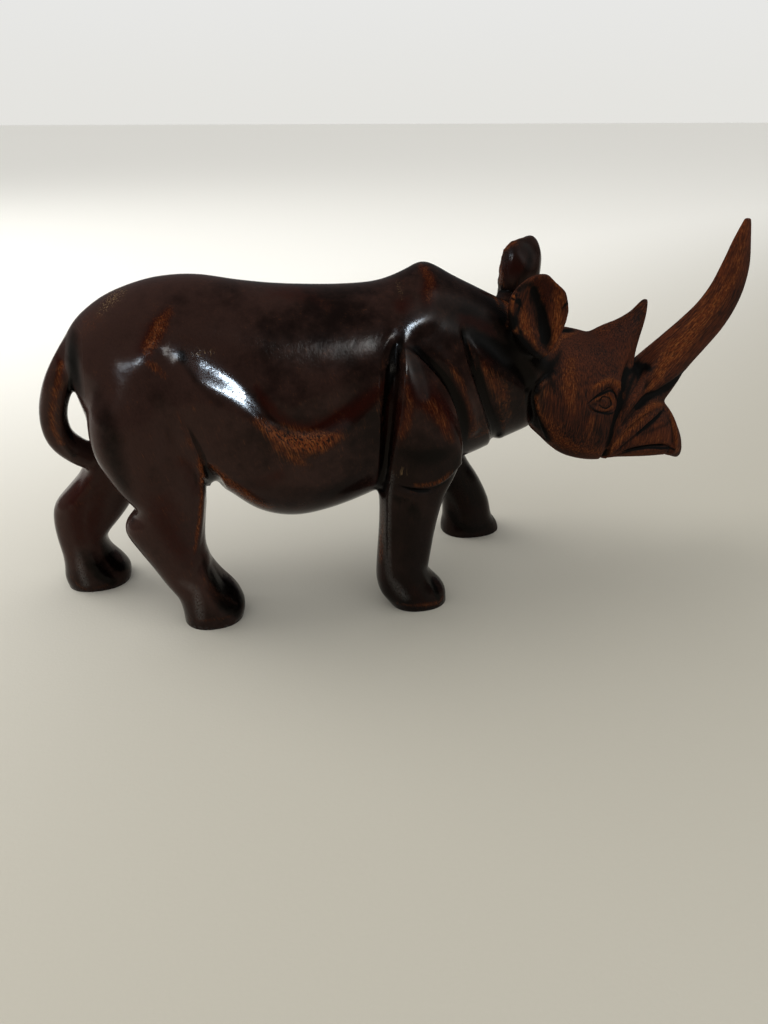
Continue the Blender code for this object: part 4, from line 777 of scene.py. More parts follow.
     (-26.0, 45.2, 0.4, 1.2), (-28.2, 41.2, 0.4, 1.2)),
    ("near",  # Hump
     (60.7, 105.8, 0.3, 2.6), (56.2, 100.8, 0.3, 2.6)),
    ("both",  # Tail root, painted shade
     (-37.0, 99.0, 0.5, 3.5), (-38.2, 94.0, 0.8, 4.0), (-38.6, 88.0, 0.8, 4.0),
     (-38.2, 82.0, 0.5, 3.5)),
    ("both",  # Under the flank notch
     (-3.6, 53.0, 0.8, 2.6), (-2.0, 49.0, 1.0, 3.4), (1.6, 46.0, 0.9, 3.2), (6.0, 42.6, 0.6, 2.6)),
    ("near",  # Haunch, painted shade
     (-32.0, 86.0, 0.35, 6.0), (-30.0, 74.0, 0.6, 7.0), (-29.0, 62.0, 0.6, 6.0),
     (-27.0, 50.0, 0.35, 5.0)),
    ("near",  # Near hind toe, painted shade
     (-6.0, 16.0, 0.4, 4.0), (-2.0, 9.0, 0.8, 5.0), (2.0, 4.0, 0.8, 4.0)),
    ("inner",  # Far hind foot, painted shade
     (-50.0, 16.0, 0.5, 5.0), (-46.0, 8.0, 0.9, 6.0), (-42.0, 3.0, 0.8, 4.0)),
    ("near",  # Belly, painted shade
     (6.0, 54.0, 0.2, 5.0), (18.0, 50.0, 0.35, 7.0), (32.0, 47.0, 0.35, 7.0),
     (44.0, 50.0, 0.3, 6.0)),
)

# Fine pale scratches and specks
SCRATCHED = (
    ("near",  # Rump
     (-28.9, 105.5, 0.5, 1.1), (-26.4, 107.9, 0.9, 2.0), (-23.3, 109.8, 1, 2.0),
     (-20.9, 111.0, 0.5, 1.4)),
    ("near",  # Flank
     (-3.0, 95.0, 0.6, 1.0), (-0.0, 95.4, 1, 1.2), (2.9, 95.2, 0.6, 1.0)),
    ("near",  # Speck on the shoulder
     (63.4, 109.5, 0.6, 0.8), (63.2, 105.7, 0.5, 0.8)),
    ("near",  # Speck at the elbow
     (57.7, 52.8, 0.6, 0.9), (60.1, 53.4, 0.7, 0.9)),
)

# Where the polish has gone
DULLED = (
    ("near",  # Neck
     (66.0, 104.0, 0.5, 5.0), (74.0, 104.0, 0.9, 7.0), (84.0, 100.0, 1.0, 9.0),
     (92.0, 95.0, 1.0, 9.0), (100.0, 88.0, 1.0, 8.0)),
    ("near",  # Flank patch
     (18.0, 72.0, 0.7, 3.5), (26.0, 67.0, 1.0, 4.5), (33.0, 66.5, 1.0, 4.5),
     (41.0, 70.5, 0.8, 4.0)),
    ("both",  # Tail root
     (-37.0, 99.0, 0.6, 4.0), (-38.2, 92.0, 0.8, 4.5), (-38.4, 84.0, 0.7, 4.0)),
    ("near",  # Shoulder
     (63.0, 92.0, 0.8, 3.0), (65.0, 86.0, 0.9, 4.0), (66.0, 80.0, 0.8, 4.0)),
    ("near",  # Slit under the elbow
     (58.0, 49.0, 1.0, 2.0), (64.0, 47.0, 1.0, 2.4), (70.0, 46.5, 1.0, 2.0)),
    ("inner",  # Far ear
     (112.0, 118.0, 0.9, 5.0), (117.0, 112.0, 0.9, 5.0)),
)

# Where the old polish still shines most
POLISHED = (
    ("near",  # Flank
     (-6.5, 96.4, 0.4, 3.2), (-2.9, 94.1, 0.8, 4.4), (2.4, 89.5, 1.0, 5.0), (7.7, 84.7, 1.0, 4.6),
     (11.5, 81.0, 1.0, 3.6), (13.6, 78.2, 0.6, 2.4)),
    ("near",  # Hip
     (-25.5, 90.0, 0.14, 3.0), (-21.4, 92.4, 0.21, 3.4), (-16.5, 95.4, 0.32, 3.0),
     (-13.4, 97.8, 0.28, 2.6)),
    ("near",  # Shoulder
     (60.9, 97.3, 0.3, 2.6), (63.8, 99.4, 0.42, 3.4), (67.5, 101.9, 0.24, 3.0)),
    ("near",  # Groove
     (59.8, 93.5, 0.36, 1.3), (58.5, 90.3, 0.54, 1.5), (57.7, 86.7, 0.54, 1.5),
     (56.6, 83.6, 0.3, 1.3)),
    ("near",  # Near hind foot
     (-15.0, 19.0, 0.2, 2.4), (-11.2, 15.6, 0.4, 2.4), (-10.7, 11.0, 0.5, 2.6),
     (-10.6, 5.6, 0.45, 2.4)),
    ("near",  # Near fore leg
     (56.0, 53.5, 0.25, 1.4), (54.8, 43.1, 0.4, 1.6), (54.6, 35.8, 0.45, 1.6),
     (54.4, 27.7, 0.45, 1.6), (54.4, 20.1, 0.45, 1.7), (54.9, 15.1, 0.45, 1.9),
     (56.4, 12.0, 0.5, 2.3), (58.2, 9.1, 0.5, 2.6), (60.2, 6.6, 0.4, 2.2)),
    ("inner",  # Far hind foot
     (-52.0, 17.0, 0.2, 2.0), (-52.1, 10.5, 0.45, 2.4), (-51.4, 3.6, 0.45, 2.2)),
    ("inner",  # Far ear
     (107.5, 101.6, 0.36, 1.6), (106.9, 107.0, 0.54, 2.0), (107.6, 111.6, 0.54, 2.0),
     (109.4, 115.5, 0.42, 1.8)),
)

# Each tint's strokes, and how much wider than drawn they are laid on
TINTS = {
    "worn": (WORN, 1.3),
    "red": (REDDENED, 1.7),
    # dark: pooled stain along the cut lines, and painted shade in hollows, under parts and low down
    "dark": (DARKENED_AND_SHADED, 1.15),
    "scratch": (SCRATCHED, 1.0),
    "dull": (DULLED, 1.0),
    "polish": (POLISHED, 1.0),
}


def eased_rows(rows, steps):
    """The rows with Catmull-Rom rows between them, steps to each span."""
    table = np.array(rows, float)
    padded = np.vstack((2 * table[0] - table[1], table, 2 * table[-1] - table[-2]))
    eased = []
    for i in range(1, len(padded) - 2):
        a, b, c, d = padded[i - 1:i + 3]
        for t in np.arange(steps) / steps:
            eased.append(0.5 * (
                2 * b + (c - a) * t + (2 * a - 5 * b + 4 * c - d) * t ** 2
                + (3 * b - a - 3 * c + d) * t ** 3
            ))
    eased.append(table[-1])
    return eased


def corner_of(angle, squareness):
    """Where a superellipse of half width and half height 1 lies at an angle."""
    c, s = math.cos(angle), math.sin(angle)
    power = 2.0 / squareness
    return math.copysign(abs(c) ** power, c), math.copysign(abs(s) ** power, s)


def add_ring(form, place):
    """A closed ring of corners, each put where place says for its angle."""
    ring = bmesh.ops.create_circle(form, segments=RING_SIDES, radius=1.0)["verts"]
    for corner in ring:
        corner.co = place(math.atan2(corner.co.y, corner.co.x))
    return sorted({edge for corner in ring for edge in corner.link_edges}, key=lambda e: e.index)


def loft(form, places):
    """A closed skin over rings, one for each place function."""
    rings = [add_ring(form, place) for place in places]
    for first, second in zip(rings, rings[1:]):
        bmesh.ops.bridge_loops(form, edges=first + second)
    for end in (rings[0], rings[-1]):
        bmesh.ops.contextual_create(form, geom=end)


def upright_place(row):
    """A cross-section of the torso or head, square to X, its upper half no squarer than a crown."""
    x, bottom, widest, top, half_width, squareness = row

    def place(angle):
        upper = min(squareness, CROWN_SQUARENESS)
        across, up = corner_of(angle, upper if math.sin(angle) > 0 else squareness)
        rise = (top - widest) if up > 0 else (widest - bottom)
        return Vector((x, half_width * across, widest + rise * up))
    return place


def level_place(row):
    """A cross-section of a leg, square to Z."""
    z, rear, front, middle, half_width = row

    def place(angle):
        along, across = corner_of(angle, LEG_SQUARENESS)
        return Vector((
            (rear + front) / 2 + (front - rear) / 2 * along, middle + half_width * across, z,
        ))
    return place


def path_places(rows, squareness):
    """Cross-sections square to a path in the side view, as for a horn or the tail."""
    table = np.array(rows)
    places = []
    for i, row in enumerate(table):
        ahead, behind = table[min(i + 1, len(table) - 1)], table[max(i - 1, 0)]
        run = Vector((ahead - behind)[:3]).normalized()
        side = Vector((0.0, 1.0, 0.0))
        depth = run.cross(side).normalized()
        side = depth.cross(run)

        def place(angle, row=row, side=side, depth=depth):
            along, across = corner_of(angle, squareness)
            return Vector(row[:3]) + depth * row[3] * along + side * row[4] * across
        places.append(place)
    return places


def cut_off(form, point, facing, **cleared):
    """Cuts the form off at a plane and closes the cut."""
    cut = bmesh.ops.bisect_plane(
        form, geom=form.verts[:] + form.edges[:] + form.faces[:],
        plane_co=point, plane_no=facing, **cleared,
    )["geom_cut"]
    edges = [part for part in cut if isinstance(part, bmesh.types.BMEdge)]
    bmesh.ops.holes_fill(form, edges=edges)


def mesh_of(form, name):
    """The form as a new mesh. The form itself is freed."""
    mesh = bpy.data.meshes.new(name)
    form.to_mesh(mesh)
    form.free()
    return mesh


def ear(form, middle, half_width, height, lean, turn, side, squareness, narrow, cuts):
    """An ear's bowl. Its cup faces outwards on the side given, -1 near or 1 far."""
    pose = (
        Matrix.Translation(middle)
        @ Matrix.Rotation(side * math.radians(turn), 4, "Z")
        @ Matrix.Rotation(math.radians(lean), 4, "Y")
    )

    def outline(angle):
        across, up = corner_of(angle, 2.0 if math.sin(angle) < 0 else squareness)
        taper = 1.0 - narrow * max(-up, 0.0)
        return half_width * across * taper, height / 2 * up

    def place_at(share, out):
        def place(angle):
            across, up = outline(angle)
            return pose @ Vector((across * share, side * out, up * share))
        return place

    piece = bmesh.new()
    loft(piece, [place_at(share, out) for share, out in EAR_BOWL])
    for (x, z), (facing_x, facing_z) in cuts:
        cut_off(piece, (x, 0, z), (facing_x, 0, facing_z), clear_outer=True)
    mesh = mesh_of(piece, "ear")
    form.from_mesh(mesh)
    bpy.data.meshes.remove(mesh)


def ellipsoid(form, middle, radii):
    """A knob under the skin."""
    pose = Matrix.Translation(middle) @ Matrix.Diagonal((*radii, 1.0))
    bmesh.ops.create_icosphere(form, subdivisions=3, radius=1.0, matrix=pose)


def rough_forms():
    """All the forms of the figure, overlapping one another."""
    form = bmesh.new()
    for rows in (TORSO, HEAD):
        loft(form, [upright_place(row) for row in eased_rows(rows, FORM_STEPS)])
    for rows in (NEAR_HIND_LEG, FAR_HIND_LEG, NEAR_FORE_LEG, FAR_FORE_LEG):
        loft(form, [level_place(row) for row in eased_rows(rows, FORM_STEPS)])
    for rows, squareness in (
        (FRONT_HORN, HORN_SQUARENESS), (REAR_HORN, REAR_HORN_SQUARENESS), (TAIL, TAIL_SQUARENESS),
    ):
        loft(form, path_places(eased_rows(rows, PATH_STEPS), squareness))
    for sizes in (NEAR_EAR, FAR_EAR):
        ear(form, *sizes)
    for middle, radii in EAR_ROOTS:
        ellipsoid(form, middle, radii)
    bmesh.ops.recalc_face_normals(form, faces=form.faces)
    return mesh_of(form, "rough_forms")


def settle(figure):
    """Applies the figure's modifiers."""
    bpy.context.view_layer.update()
    graph = bpy.context.evaluated_depsgraph_get()
    settled = bpy.data.meshes.new_from_object(figure.evaluated_get(graph))
    figure.modifiers.clear()
    figure.data = settled


def fuse(figure, voxel):
    """Makes one skin of the overlapping forms."""
    remesh = figure.modifiers.new("Fuse", "REMESH")
    remesh.mode = "VOXEL"
    remesh.voxel_size = voxel
    settle(figure)


def read(mesh, what):
    """The place ("co") or the way ("normal") of each of the mesh's points."""
    flat = np.empty(len(mesh.vertices) * 3)
    mesh.vertices.foreach_get(what, flat)
    return flat.reshape(-1, 3)


def ends_of(mesh):
    """The two points that each of the mesh's edges joins."""
    edges = np.empty(len(mesh.edges) * 2, int)
    mesh.edges.foreach_get("vertices", edges)
    return edges.reshape(-1, 2).T


def add_neighbours(total, values, ends):
    """Adds to each point's total the values of the points it shares an edge with."""
    first, second = ends
    for axis in range(3):
        total[:, axis] += np.bincount(first, values[second, axis], len(values))
        total[:, axis] += np.bincount(second, values[first, axis], len(values))
    return total


def ramp(value, start, end):
    """0 up to start, 1 from end on, and a straight rise between them."""
    return np.clip((value - start) / (end - start), 0.0, 1.0)


def soft_share(points):
    """How far each point may be softened: fully on the body, hardly on thin forms."""
    x, y, z = points.T
    body = ramp(x, 108.0, 98.0) * ramp(x, -46.0, -40.0)
    foot = ramp(z, 6.0, 36.0)
    brow = np.hypot((x - 139.0) / 26.0, (z - 76.0) / 26.0)
    skull = np.clip(1.4 - 1.4 * brow, 0.0, 1.0) * ramp(100.0 - z - 0.5 * np.abs(y), 0.0, 8.0)
    return np.maximum(0.08 + 0.92 * body * foot, 0.45 * skull)


def soften(figure, voxel, reach):
    """Rounds the joins over by about the reach."""
    group = figure.vertex_groups.new(name="soft")
    for i, share in enumerate(soft_share(read(figure.data, "co"))):
        group.add([i], float(share), "REPLACE")
    smooth = figure.modifiers.new("Soften", "SMOOTH")
    smooth.factor = 0.5
    smooth.iterations = round(4 * (reach / voxel) ** 2)
    smooth.vertex_group = group.name
    settle(figure)


def facing_share(side, points, normals):
    """How much each point looks out of the side that a line is drawn on."""
    out, across = normals[:, 1], points[:, 1]
    nearwards, farwards = ramp(out, 0.25, -0.20), ramp(out, -0.25, 0.20)
    shares = {
        "near": nearwards * (across < 1.0),
        "far": farwards * (across > -1.0),
        "inner": nearwards * (across > 4.0),
    }
    shares["both"] = np.maximum(shares["near"], shares["far"])
    return shares[side]


def line_depths(kind, rows, points):
    """How far a carved line moves each point outwards."""
    table = np.array(eased_rows(rows, PATH_STEPS))
    low = table[:, :2].min(0) - table[:, 3].max()
    high = table[:, :2].max(0) + table[:, 3].max()
    flat = points[:, (0, 2)]
    touched = np.flatnonzero(((flat > low) & (flat < high)).all(1))
    start, run = table[:-1], table[1:] - table[:-1]
    offset = flat[touched, None] - start[None, :, :2]
    length = (run[:, :2] ** 2).sum(1)
    along = np.clip((offset * run[:, :2]).sum(2) / length, 0.0, 1.0)
    away = offset - along[:, :, None] * run[:, :2]
    distance = np.hypot(away[:, :, 0], away[:, :, 1])
    best = distance.argmin(1)
    pick = np.arange(len(touched))
    gap = distance[pick, best]
    share = along[pick, best][:, None]
    depth, reach = (start[best] + share * run[best])[:, 2:].T
    left = run[best, 0] * offset[pick, best, 1] - run[best, 1] * offset[pick, best, 0] > 0
    near = np.clip(1.0 - gap / reach, 0.0, 1.0)
    turn = np.where(left, 1.0, -1.0)
    moved = {
        "hollow": -0.5 * (1.0 - np.cos(math.pi * near)),
        "ridge": 0.5 * (1.0 - np.cos(math.pi * near)),
        "cut": -near ** 1.2,
        "step": turn * np.tanh(gap / STEP_WIDTH) * near ** 2,
        "swell": turn * np.tanh(gap / (SWELL_SHARE * reach)) * near ** 1.5,
    }[kind]
    depths = np.zeros(len(points))
    depths[touched] = depth * moved
    return depths


def even_normals(mesh):
    """The points' normals, evened out over their neighbours."""
    normals, ends = read(mesh, "normal"), ends_of(mesh)
    for _ in range(NORMAL_PASSES):
        total = add_neighbours(normals.copy(), normals, ends)
        normals = total / np.linalg.norm(total, axis=1)[:, None]
    return normals


def refine(figure, voxel, finest):
    """Gives the mesh more points along the carved lines whose reach is under finest."""
    form = bmesh.new()
    form.from_mesh(figure.data)
    points = read(figure.data, "co")
    wanted = np.zeros(len(points), bool)
    for _, _, *rows in LINES:
        if min(row[3] for row in rows) < finest:
            wider = [(x, z, 1.0, reach + voxel) for x, z, _, reach in rows]
            wanted |= line_depths("ridge", wider, points) > 0
    form.verts.ensure_lookup_table()
    edges = [edge for edge in form.edges if all(wanted[corner.index] for corner in edge.verts)]
    bmesh.ops.subdivide_edges(form, edges=edges, cuts=1, use_grid_fill=True, smooth=0.0)
    bmesh.ops.triangulate(form, faces=form.faces)
    form.to_mesh(figure.data)
    form.free()


def carve(figure):
    """Cuts the carved lines into the figure."""
    points = read(figure.data, "co")
    normals = even_normals(figure.data)
    moved = np.zeros(len(points))
    for side, kind, *rows in LINES:
        moved += facing_share(side, points, normals) * line_depths(kind, rows, points)
    figure.data.vertices.foreach_set("co", (points + normals * moved[:, None]).ravel())
    figure.data.update()
    relax = figure.modifiers.new("Relax", "SMOOTH")
    relax.factor = 0.4
    relax.iterations = 1
    settle(figure)


def flatten_soles(figure):
    """Cuts the four feet off level at Z = 0 and closes the cuts."""
    form = bmesh.new()
    form.from_mesh(figure.data)
    cut_off(form, (0, 0, 0), (0, 0, 1), clear_inner=True)
    bmesh.ops.triangulate(form, faces=form.faces)
    form.to_mesh(figure.data)
    form.free()


def thin_out(figure, triangles):
    """Thins the mesh to about so many triangles, where it is flattest first."""
    figure.data.calc_loop_triangles()
    decimate = figure.modifiers.new("Thin", "DECIMATE")
    decimate.ratio = triangles / len(figure.data.loop_triangles)
    settle(figure)


def curvature(figure):
    """Keeps how far each point stands out of its surroundings, in millimetres, as "edge"."""
    mesh = figure.data
    points, ends = read(mesh, "co"), ends_of(mesh)
    normals = even_normals(mesh)
    count = sum(np.bincount(end, minlength=len(points)) for end in ends)
    evened = points.copy()
    for _ in range(EDGE_PASSES):
        total = add_neighbours(np.zeros_like(evened), evened, ends)
        evened = 0.5 * evened + 0.5 * total / count[:, None]
    store(mesh, "edge", ((points - evened) * normals).sum(1))


def store(mesh, name, values):
    """Keeps one number for each point of the mesh."""
    layer = mesh.attributes.get(name) or mesh.attributes.new(name, "FLOAT", "POINT")
    layer.data.foreach_set("value", values.astype(np.float32))


def paint(figure):
    """Lays the wear, the stain and painted shade on the figure, and the run of its grain."""
    mesh = figure.data
    points = read(mesh, "co")
    normals = even_normals(mesh)
    matt = matt_share(points)
    store(mesh, "matt", matt)
    store(mesh, "thin", ramp(points[:, 0], 38.0, -2.0))
    # The legs and feet start with painted shade
    starts = {"dull": matt, "dark": foot_shade_share(points)}
    for tint, (strokes, spread) in TINTS.items():
        amount = starts.get(tint, np.zeros(len(points)))
        for side, *drawn in strokes:
            rows = [(x, z, strength, reach * spread) for x, z, strength, reach in drawn]
            share = facing_share(side, points, normals)
            amount = np.maximum(amount, share * line_depths("ridge", rows, points))
        store(mesh, tint, amount)
    layer = mesh.attributes.new("grain", "FLOAT_VECTOR", "POINT")
    layer.data.foreach_set("vector", grain_run(points).astype(np.float32).ravel())


def matt_share(points):
    """Where the stain is brown and the polish dull: the head, both horns and the near ear."""
    x, y, z = points.T
    head = ramp(x, 111.0, 116.0) * ramp(102.0 - z + 0.8 * (x - 130.0), 0.0, 6.0)
    cup = ramp(y, -14.0, -16.0) * ramp(x, 94.0, 96.0)
    return np.maximum(head, cup * ramp(z, 84.0, 88.0))


def foot_shade_share(points):
    """Painted shade: the fore legs and all the feet start half darkened, where shade falls under
    the body.
    """
    x, y, z = points.T
    legs = ramp(x, 50.0, 54.0) * ramp(z, 66.0, 52.0) * (x < 108.0)
    return 0.5 * np.maximum(legs, ramp(z, 20.0, 6.0))


def grain_run(points):
    """Where each point lies across, through and along the grain, in millimetres."""
    x, y, z = points.T
    tilt = math.radians(-16) * ramp(x, 110.0, 98.0)
    across = x * np.cos(tilt) - z * np.sin(tilt)
    along = x * np.sin(tilt) + z * np.cos(tilt)
    path = np.array(eased_rows(FRONT_HORN, PATH_STEPS))[:, (0, 2)]
    run = np.diff(path, axis=0)
    length = np.hypot(*run.T)
    offset = points[:, None, (0, 2)] - path[None, :-1]
    share = np.clip((offset * run).sum(2) / length ** 2, 0.0, 1.0)
    away = offset - share[:, :, None] * run
    best = np.hypot(away[:, :, 0], away[:, :, 1]).argmin(1)
    pick = np.arange(len(points))
    start = np.concatenate(([0.0], np.cumsum(length)))[:-1]
    horn_along = start[best] + share[pick, best] * length[best]
    horn_across = run[best, 0] * away[pick, best, 1] - run[best, 1] * away[pick, best, 0]
    horn_across /= length[best]
    on_horn = (x > 150.0) & (z > 64.0 - 0.4 * (x - 160.0)) & (x + 0.4 * z > 186.0)
    across = np.where(on_horn, horn_across, across)
    along = np.where(on_horn, horn_along, along)
    return np.stack((across, y, along), 1)


def place_figure(figure, sizes):
    """Brings the pattern to its real size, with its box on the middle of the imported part's."""
    scale = np.array((
        sizes.length / PATTERN_LENGTH, sizes.width / PATTERN_WIDTH, sizes.height / PATTERN_HEIGHT,
    ))
    points = read(figure.data, "co") * scale
    middle = (points.min(0) + points.max(0)) / 2
    points -= (middle[0] - (LOW.x + HIGH.x) / 2, middle[1] - (LOW.y + HIGH.y) / 2, -LOW.z)
    figure.data.vertices.foreach_set("co", points.ravel())
    figure.data.update()


class Nodes:
    """Short ways to lay out a material's nodes."""

    def __init__(self, tree):
        self.tree = tree

    def add(self, kind, **values):
        """A new node with its settings."""
        node = self.tree.nodes.new(kind)
        for name, value in values.items():
            setattr(node, name, value)
        return node

    def put(self, socket, value):
        """Links a socket, or sets a plain value, into a node's socket."""
        if isinstance(value, bpy.types.NodeSocket):
            self.tree.links.new(value, socket)
        else:
            socket.default_value = value

    def number(self, name):
        """What the mesh keeps for each point under this name."""
        return self.add("ShaderNodeAttribute", attribute_name=name).outputs["Fac"]

    def math(self, operation, first, second):
        node = self.add("ShaderNodeMath", operation=operation)
        self.put(node.inputs[0], first)
        self.put(node.inputs[1], second)
        return node.outputs[0]

    def total(self, *terms):
        """The sum of value times weight pairs and plain numbers."""
        result = None
        for term in terms:
            part = self.math("MULTIPLY", *term) if isinstance(term, tuple) else term
            result = part if result is None else self.math("ADD", result, part)
        return result

    def step(self, value, low, high):
        """0 below low, 1 above high, and an eased rise between them."""
        node = self.add("ShaderNodeMapRange", interpolation_type="SMOOTHSTEP")
        self.put(node.inputs["Value"], value)
        node.inputs["From Min"].default_value = low
        node.inputs["From Max"].default_value = high
        return node.outputs["Result"]

    def noise(self, place, scale, detail, roughness):
        node = self.add("ShaderNodeTexNoise")
        self.put(node.inputs["Vector"], place)
        node.inputs["Scale"].default_value = scale
        node.inputs["Detail"].default_value = detail
        node.inputs["Roughness"].default_value = roughness
        return node.outputs["Fac"]

    def stretched(self, place, scale, turn=(0.0, 0.0, 0.0)):
        node = self.add("ShaderNodeMapping")
        self.put(node.inputs["Vector"], place)
        node.inputs["Scale"].default_value = scale
        node.inputs["Rotation"].default_value = turn
        return node.outputs["Vector"]

    def blend(self, share, first, second):
        """From the first colour to the second by the share, through the node's colour sockets."""
        node = self.add("ShaderNodeMix", data_type="RGBA")
        for socket, value in ((0, share), (6, first), (7, second)):
            self.put(node.inputs[socket], value)
        return node.outputs[2]

    def along(self, place, axis):
        """How far a place lies along an axis."""
        node = self.add("ShaderNodeVectorMath", operation="DOT_PRODUCT")
        self.put(node.inputs[0], place)
        node.inputs[1].default_value = axis
        return node.outputs["Value"]

    def bump(self, height, strength, distance):
        node = self.add("ShaderNodeBump")
        node.inputs["Strength"].default_value = strength
        node.inputs["Distance"].default_value = distance
        self.put(node.inputs["Height"], height)
        return node.outputs["Normal"]


def new_material(name):
    """A material, its nodes and its shader's sockets."""
    material = bpy.data.materials.new(name)
    material.use_nodes = True
    tree = material.node_tree
    return material, Nodes(tree), tree.nodes["Principled BSDF"].inputs


def stained_wood(finish):
    """Dark stain over hardwood, pooled in the cuts, red where thin, rubbed off on the edges, and
    painted shade in hollows and low down.
    """
    material, n, shader = new_material("stained_wood")

    place = n.stretched(n.add("ShaderNodeTexCoord").outputs["Object"], (1 / MILLIMETRE,) * 3)
    grain = n.add("ShaderNodeAttribute", attribute_name="grain").outputs["Vector"]
    worn, red, dark = n.number("worn"), n.number("red"), n.number("dark")
    scratch, edge, matt = n.number("scratch"), n.number("edge"), n.number("matt")

    clouds = n.noise(place, 0.045, 4.0, 0.6)
    mottle = n.noise(place, 0.25, 4.0, 0.65)
    speckle = n.noise(place, 1.3, 3.0, 0.6)
    fibre = n.noise(n.stretched(grain, (1.0, 1.0, 0.07)), 2.3, 3.0, 0.65)
    pores = n.noise(n.stretched(grain, (1.0, 1.0, 0.22)), 2.2, 1.0, 0.5)
    peel = n.noise(place, 2.4, 2.0, 0.6)
    lines = n.noise(n.stretched(place, (1.0, 1.0, 0.12), (0.2, 0.9, 0.0)), 2.4, 2.0, 0.5)

    raised = n.step(edge, 0.05, 0.35)
    # Painted shade and pooled stain: points sunk below their surroundings are darkened
    hollow_shade = n.step(n.math("MULTIPLY", edge, -1.0), 0.03, 0.30)
    worn_share = n.step(
        n.total((worn, 1.1), (raised, 0.12), (fibre, 1.0), (mottle, 0.8), -0.95), 0.0, 1.05,
    )
    red_share = n.step(
        n.total((red, 0.9), (worn, 0.9), (clouds, 0.8), (mottle, 0.6), -0.75), 0.05, 0.95,
    )
    # Darkening: pooled stain along the cut lines, painted shade in hollows, under parts and on the
    # legs
    dark_and_shade_share = n.step(n.total((dark, 1.0), (hollow_shade, 0.55), (mottle, 0.5), -0.25), 0.10, 0.85)
    pore_share = n.step(pores, 0.52, 0.62)
    scratch_share = n.math("MULTIPLY", n.step(lines, 0.56, 0.62), scratch)

    ground = n.blend(
        n.step(n.total((clouds, 0.8), (mottle, 0.3), (n.number("thin"), 0.22)), 0.42, 0.78),
        finish.stain, finish.thin_stain,
    )
    brown = n.blend(n.step(n.total((fibre, 0.7), (clouds, 0.5)), 0.42, 0.78),
                    finish.stain, finish.brown_stain)
    ground = n.blend(matt, ground, brown)
    ground = n.blend(red_share, ground, finish.red_stain)
    bare = n.blend(n.step(n.total((fibre, 0.7), (speckle, 0.4)), 0.45, 0.85),
                   finish.rubbed_wood, finish.bare_wood)
    colour = n.blend(worn_share, ground, bare)
    filled = n.total(
        (worn_share, 0.8), (n.math("MULTIPLY", matt, worn_share), -0.5), (matt, 0.1), 0.1,
    )
    colour = n.blend(n.math("MULTIPLY", pore_share, filled), colour, finish.stain)
    colour = n.blend(dark_and_shade_share, colour, finish.deep_stain_and_shade)
    colour = n.blend(scratch_share, colour, finish.scratched_wood)
    n.put(shader["Base Color"], colour)

    n.put(shader["Roughness"], n.total(
        (mottle, 0.08), (worn_share, 0.14), (dark_and_shade_share, 0.04), (speckle, 0.04),
        (scratch_share, 0.2), (n.number("dull"), 0.62), finish.roughness,
    ))
    n.put(shader["Coat Weight"], n.math(
        "MULTIPLY", n.number("polish"), n.step(peel, 0.30, 0.62),
    ))
    shader["Coat Roughness"].default_value = 0.20
    shader["Coat IOR"].default_value = 2.4
    shader["IOR"].default_value = 1.25
    shader["Specular Tint"].default_value = (1.0, 0.84, 0.70, 1.0)

    height = n.total(
        (n.math("MULTIPLY", fibre, n.total((worn_share, 0.7), 0.14)), 0.026),
        (peel, 0.004), (speckle, 0.005), (mottle, 0.035), (clouds, 0.2),
        (n.math("MULTIPLY", pore_share, n.total((worn_share, 1.0), 0.08)), -0.05),
        (scratch_share, -0.04),
    )
    relief = n.bump(height, 1.0, MILLIMETRE)
    n.put(shader["Normal"], relief)
    n.put(shader["Coat Normal"], relief)
    return material


def pale_surface(stage):
    """A matt pale table top with a faint texture, painted lighter away from the figure towards the
    back left as a painted fall-off of light, and glowing faintly as painted light that lifts its
    shadows.
    """
    material, n, shader = new_material("pale_surface")
    place = n.add("ShaderNodeTexCoord").outputs["Object"]
    # Painted fall-off of light: the table top is lighter away from the figure towards the back left
    far = n.step(n.along(place, (-0.45, 0.89, 0.0)), -0.14, 0.55)
    n.put(shader["Base Color"], n.blend(far, stage.floor, stage.far_floor_painted_light))
    # Painted light: the table top glows faintly, more so far away, lifting its shadows
    n.put(shader["Emission Color"], n.blend(far, stage.near_glow, stage.glow))
    shader["Emission Strength"].default_value = 1.0
    shader["Roughness"].default_value = 0.6
    n.put(shader["Normal"], n.bump(n.noise(place, 900.0, 2.0, 0.5), 0.5, 0.1 * MILLIMETRE))
    return material


def aimed(direction):
    """The turn that points a camera or light along a direction."""
    return Vector(direction).to_track_quat("-Z", "Y")


def add_light(name, width, height, power, bearing, rise, distance, aim, mirrored):
    """A soft box at a bearing from the front and a rise above the table, looking at aim."""
    bearing, rise = math.radians(bearing), math.radians(rise)
    light = bpy.data.lights.new(name, "AREA")
    light.shape = "RECTANGLE"
    light.size = width
    light.size_y = height
    light.energy = power
    light.color = (0.70, 0.85, 1.0) if mirrored else (1.0, 0.99, 0.97)
    box = bpy.data.objects.new(name, light)
    away = Vector((
        math.sin(bearing) * math.cos(rise), -math.cos(bearing) * math.cos(rise), math.sin(rise),
    ))
    box.location = Vector(aim) + away * distance
    box.rotation_mode = "QUATERNION"
    box.rotation_quaternion = aimed(-away)
    box.visible_glossy = mirrored
    box.visible_diffuse = not mirrored
    bpy.context.scene.collection.objects.link(box)


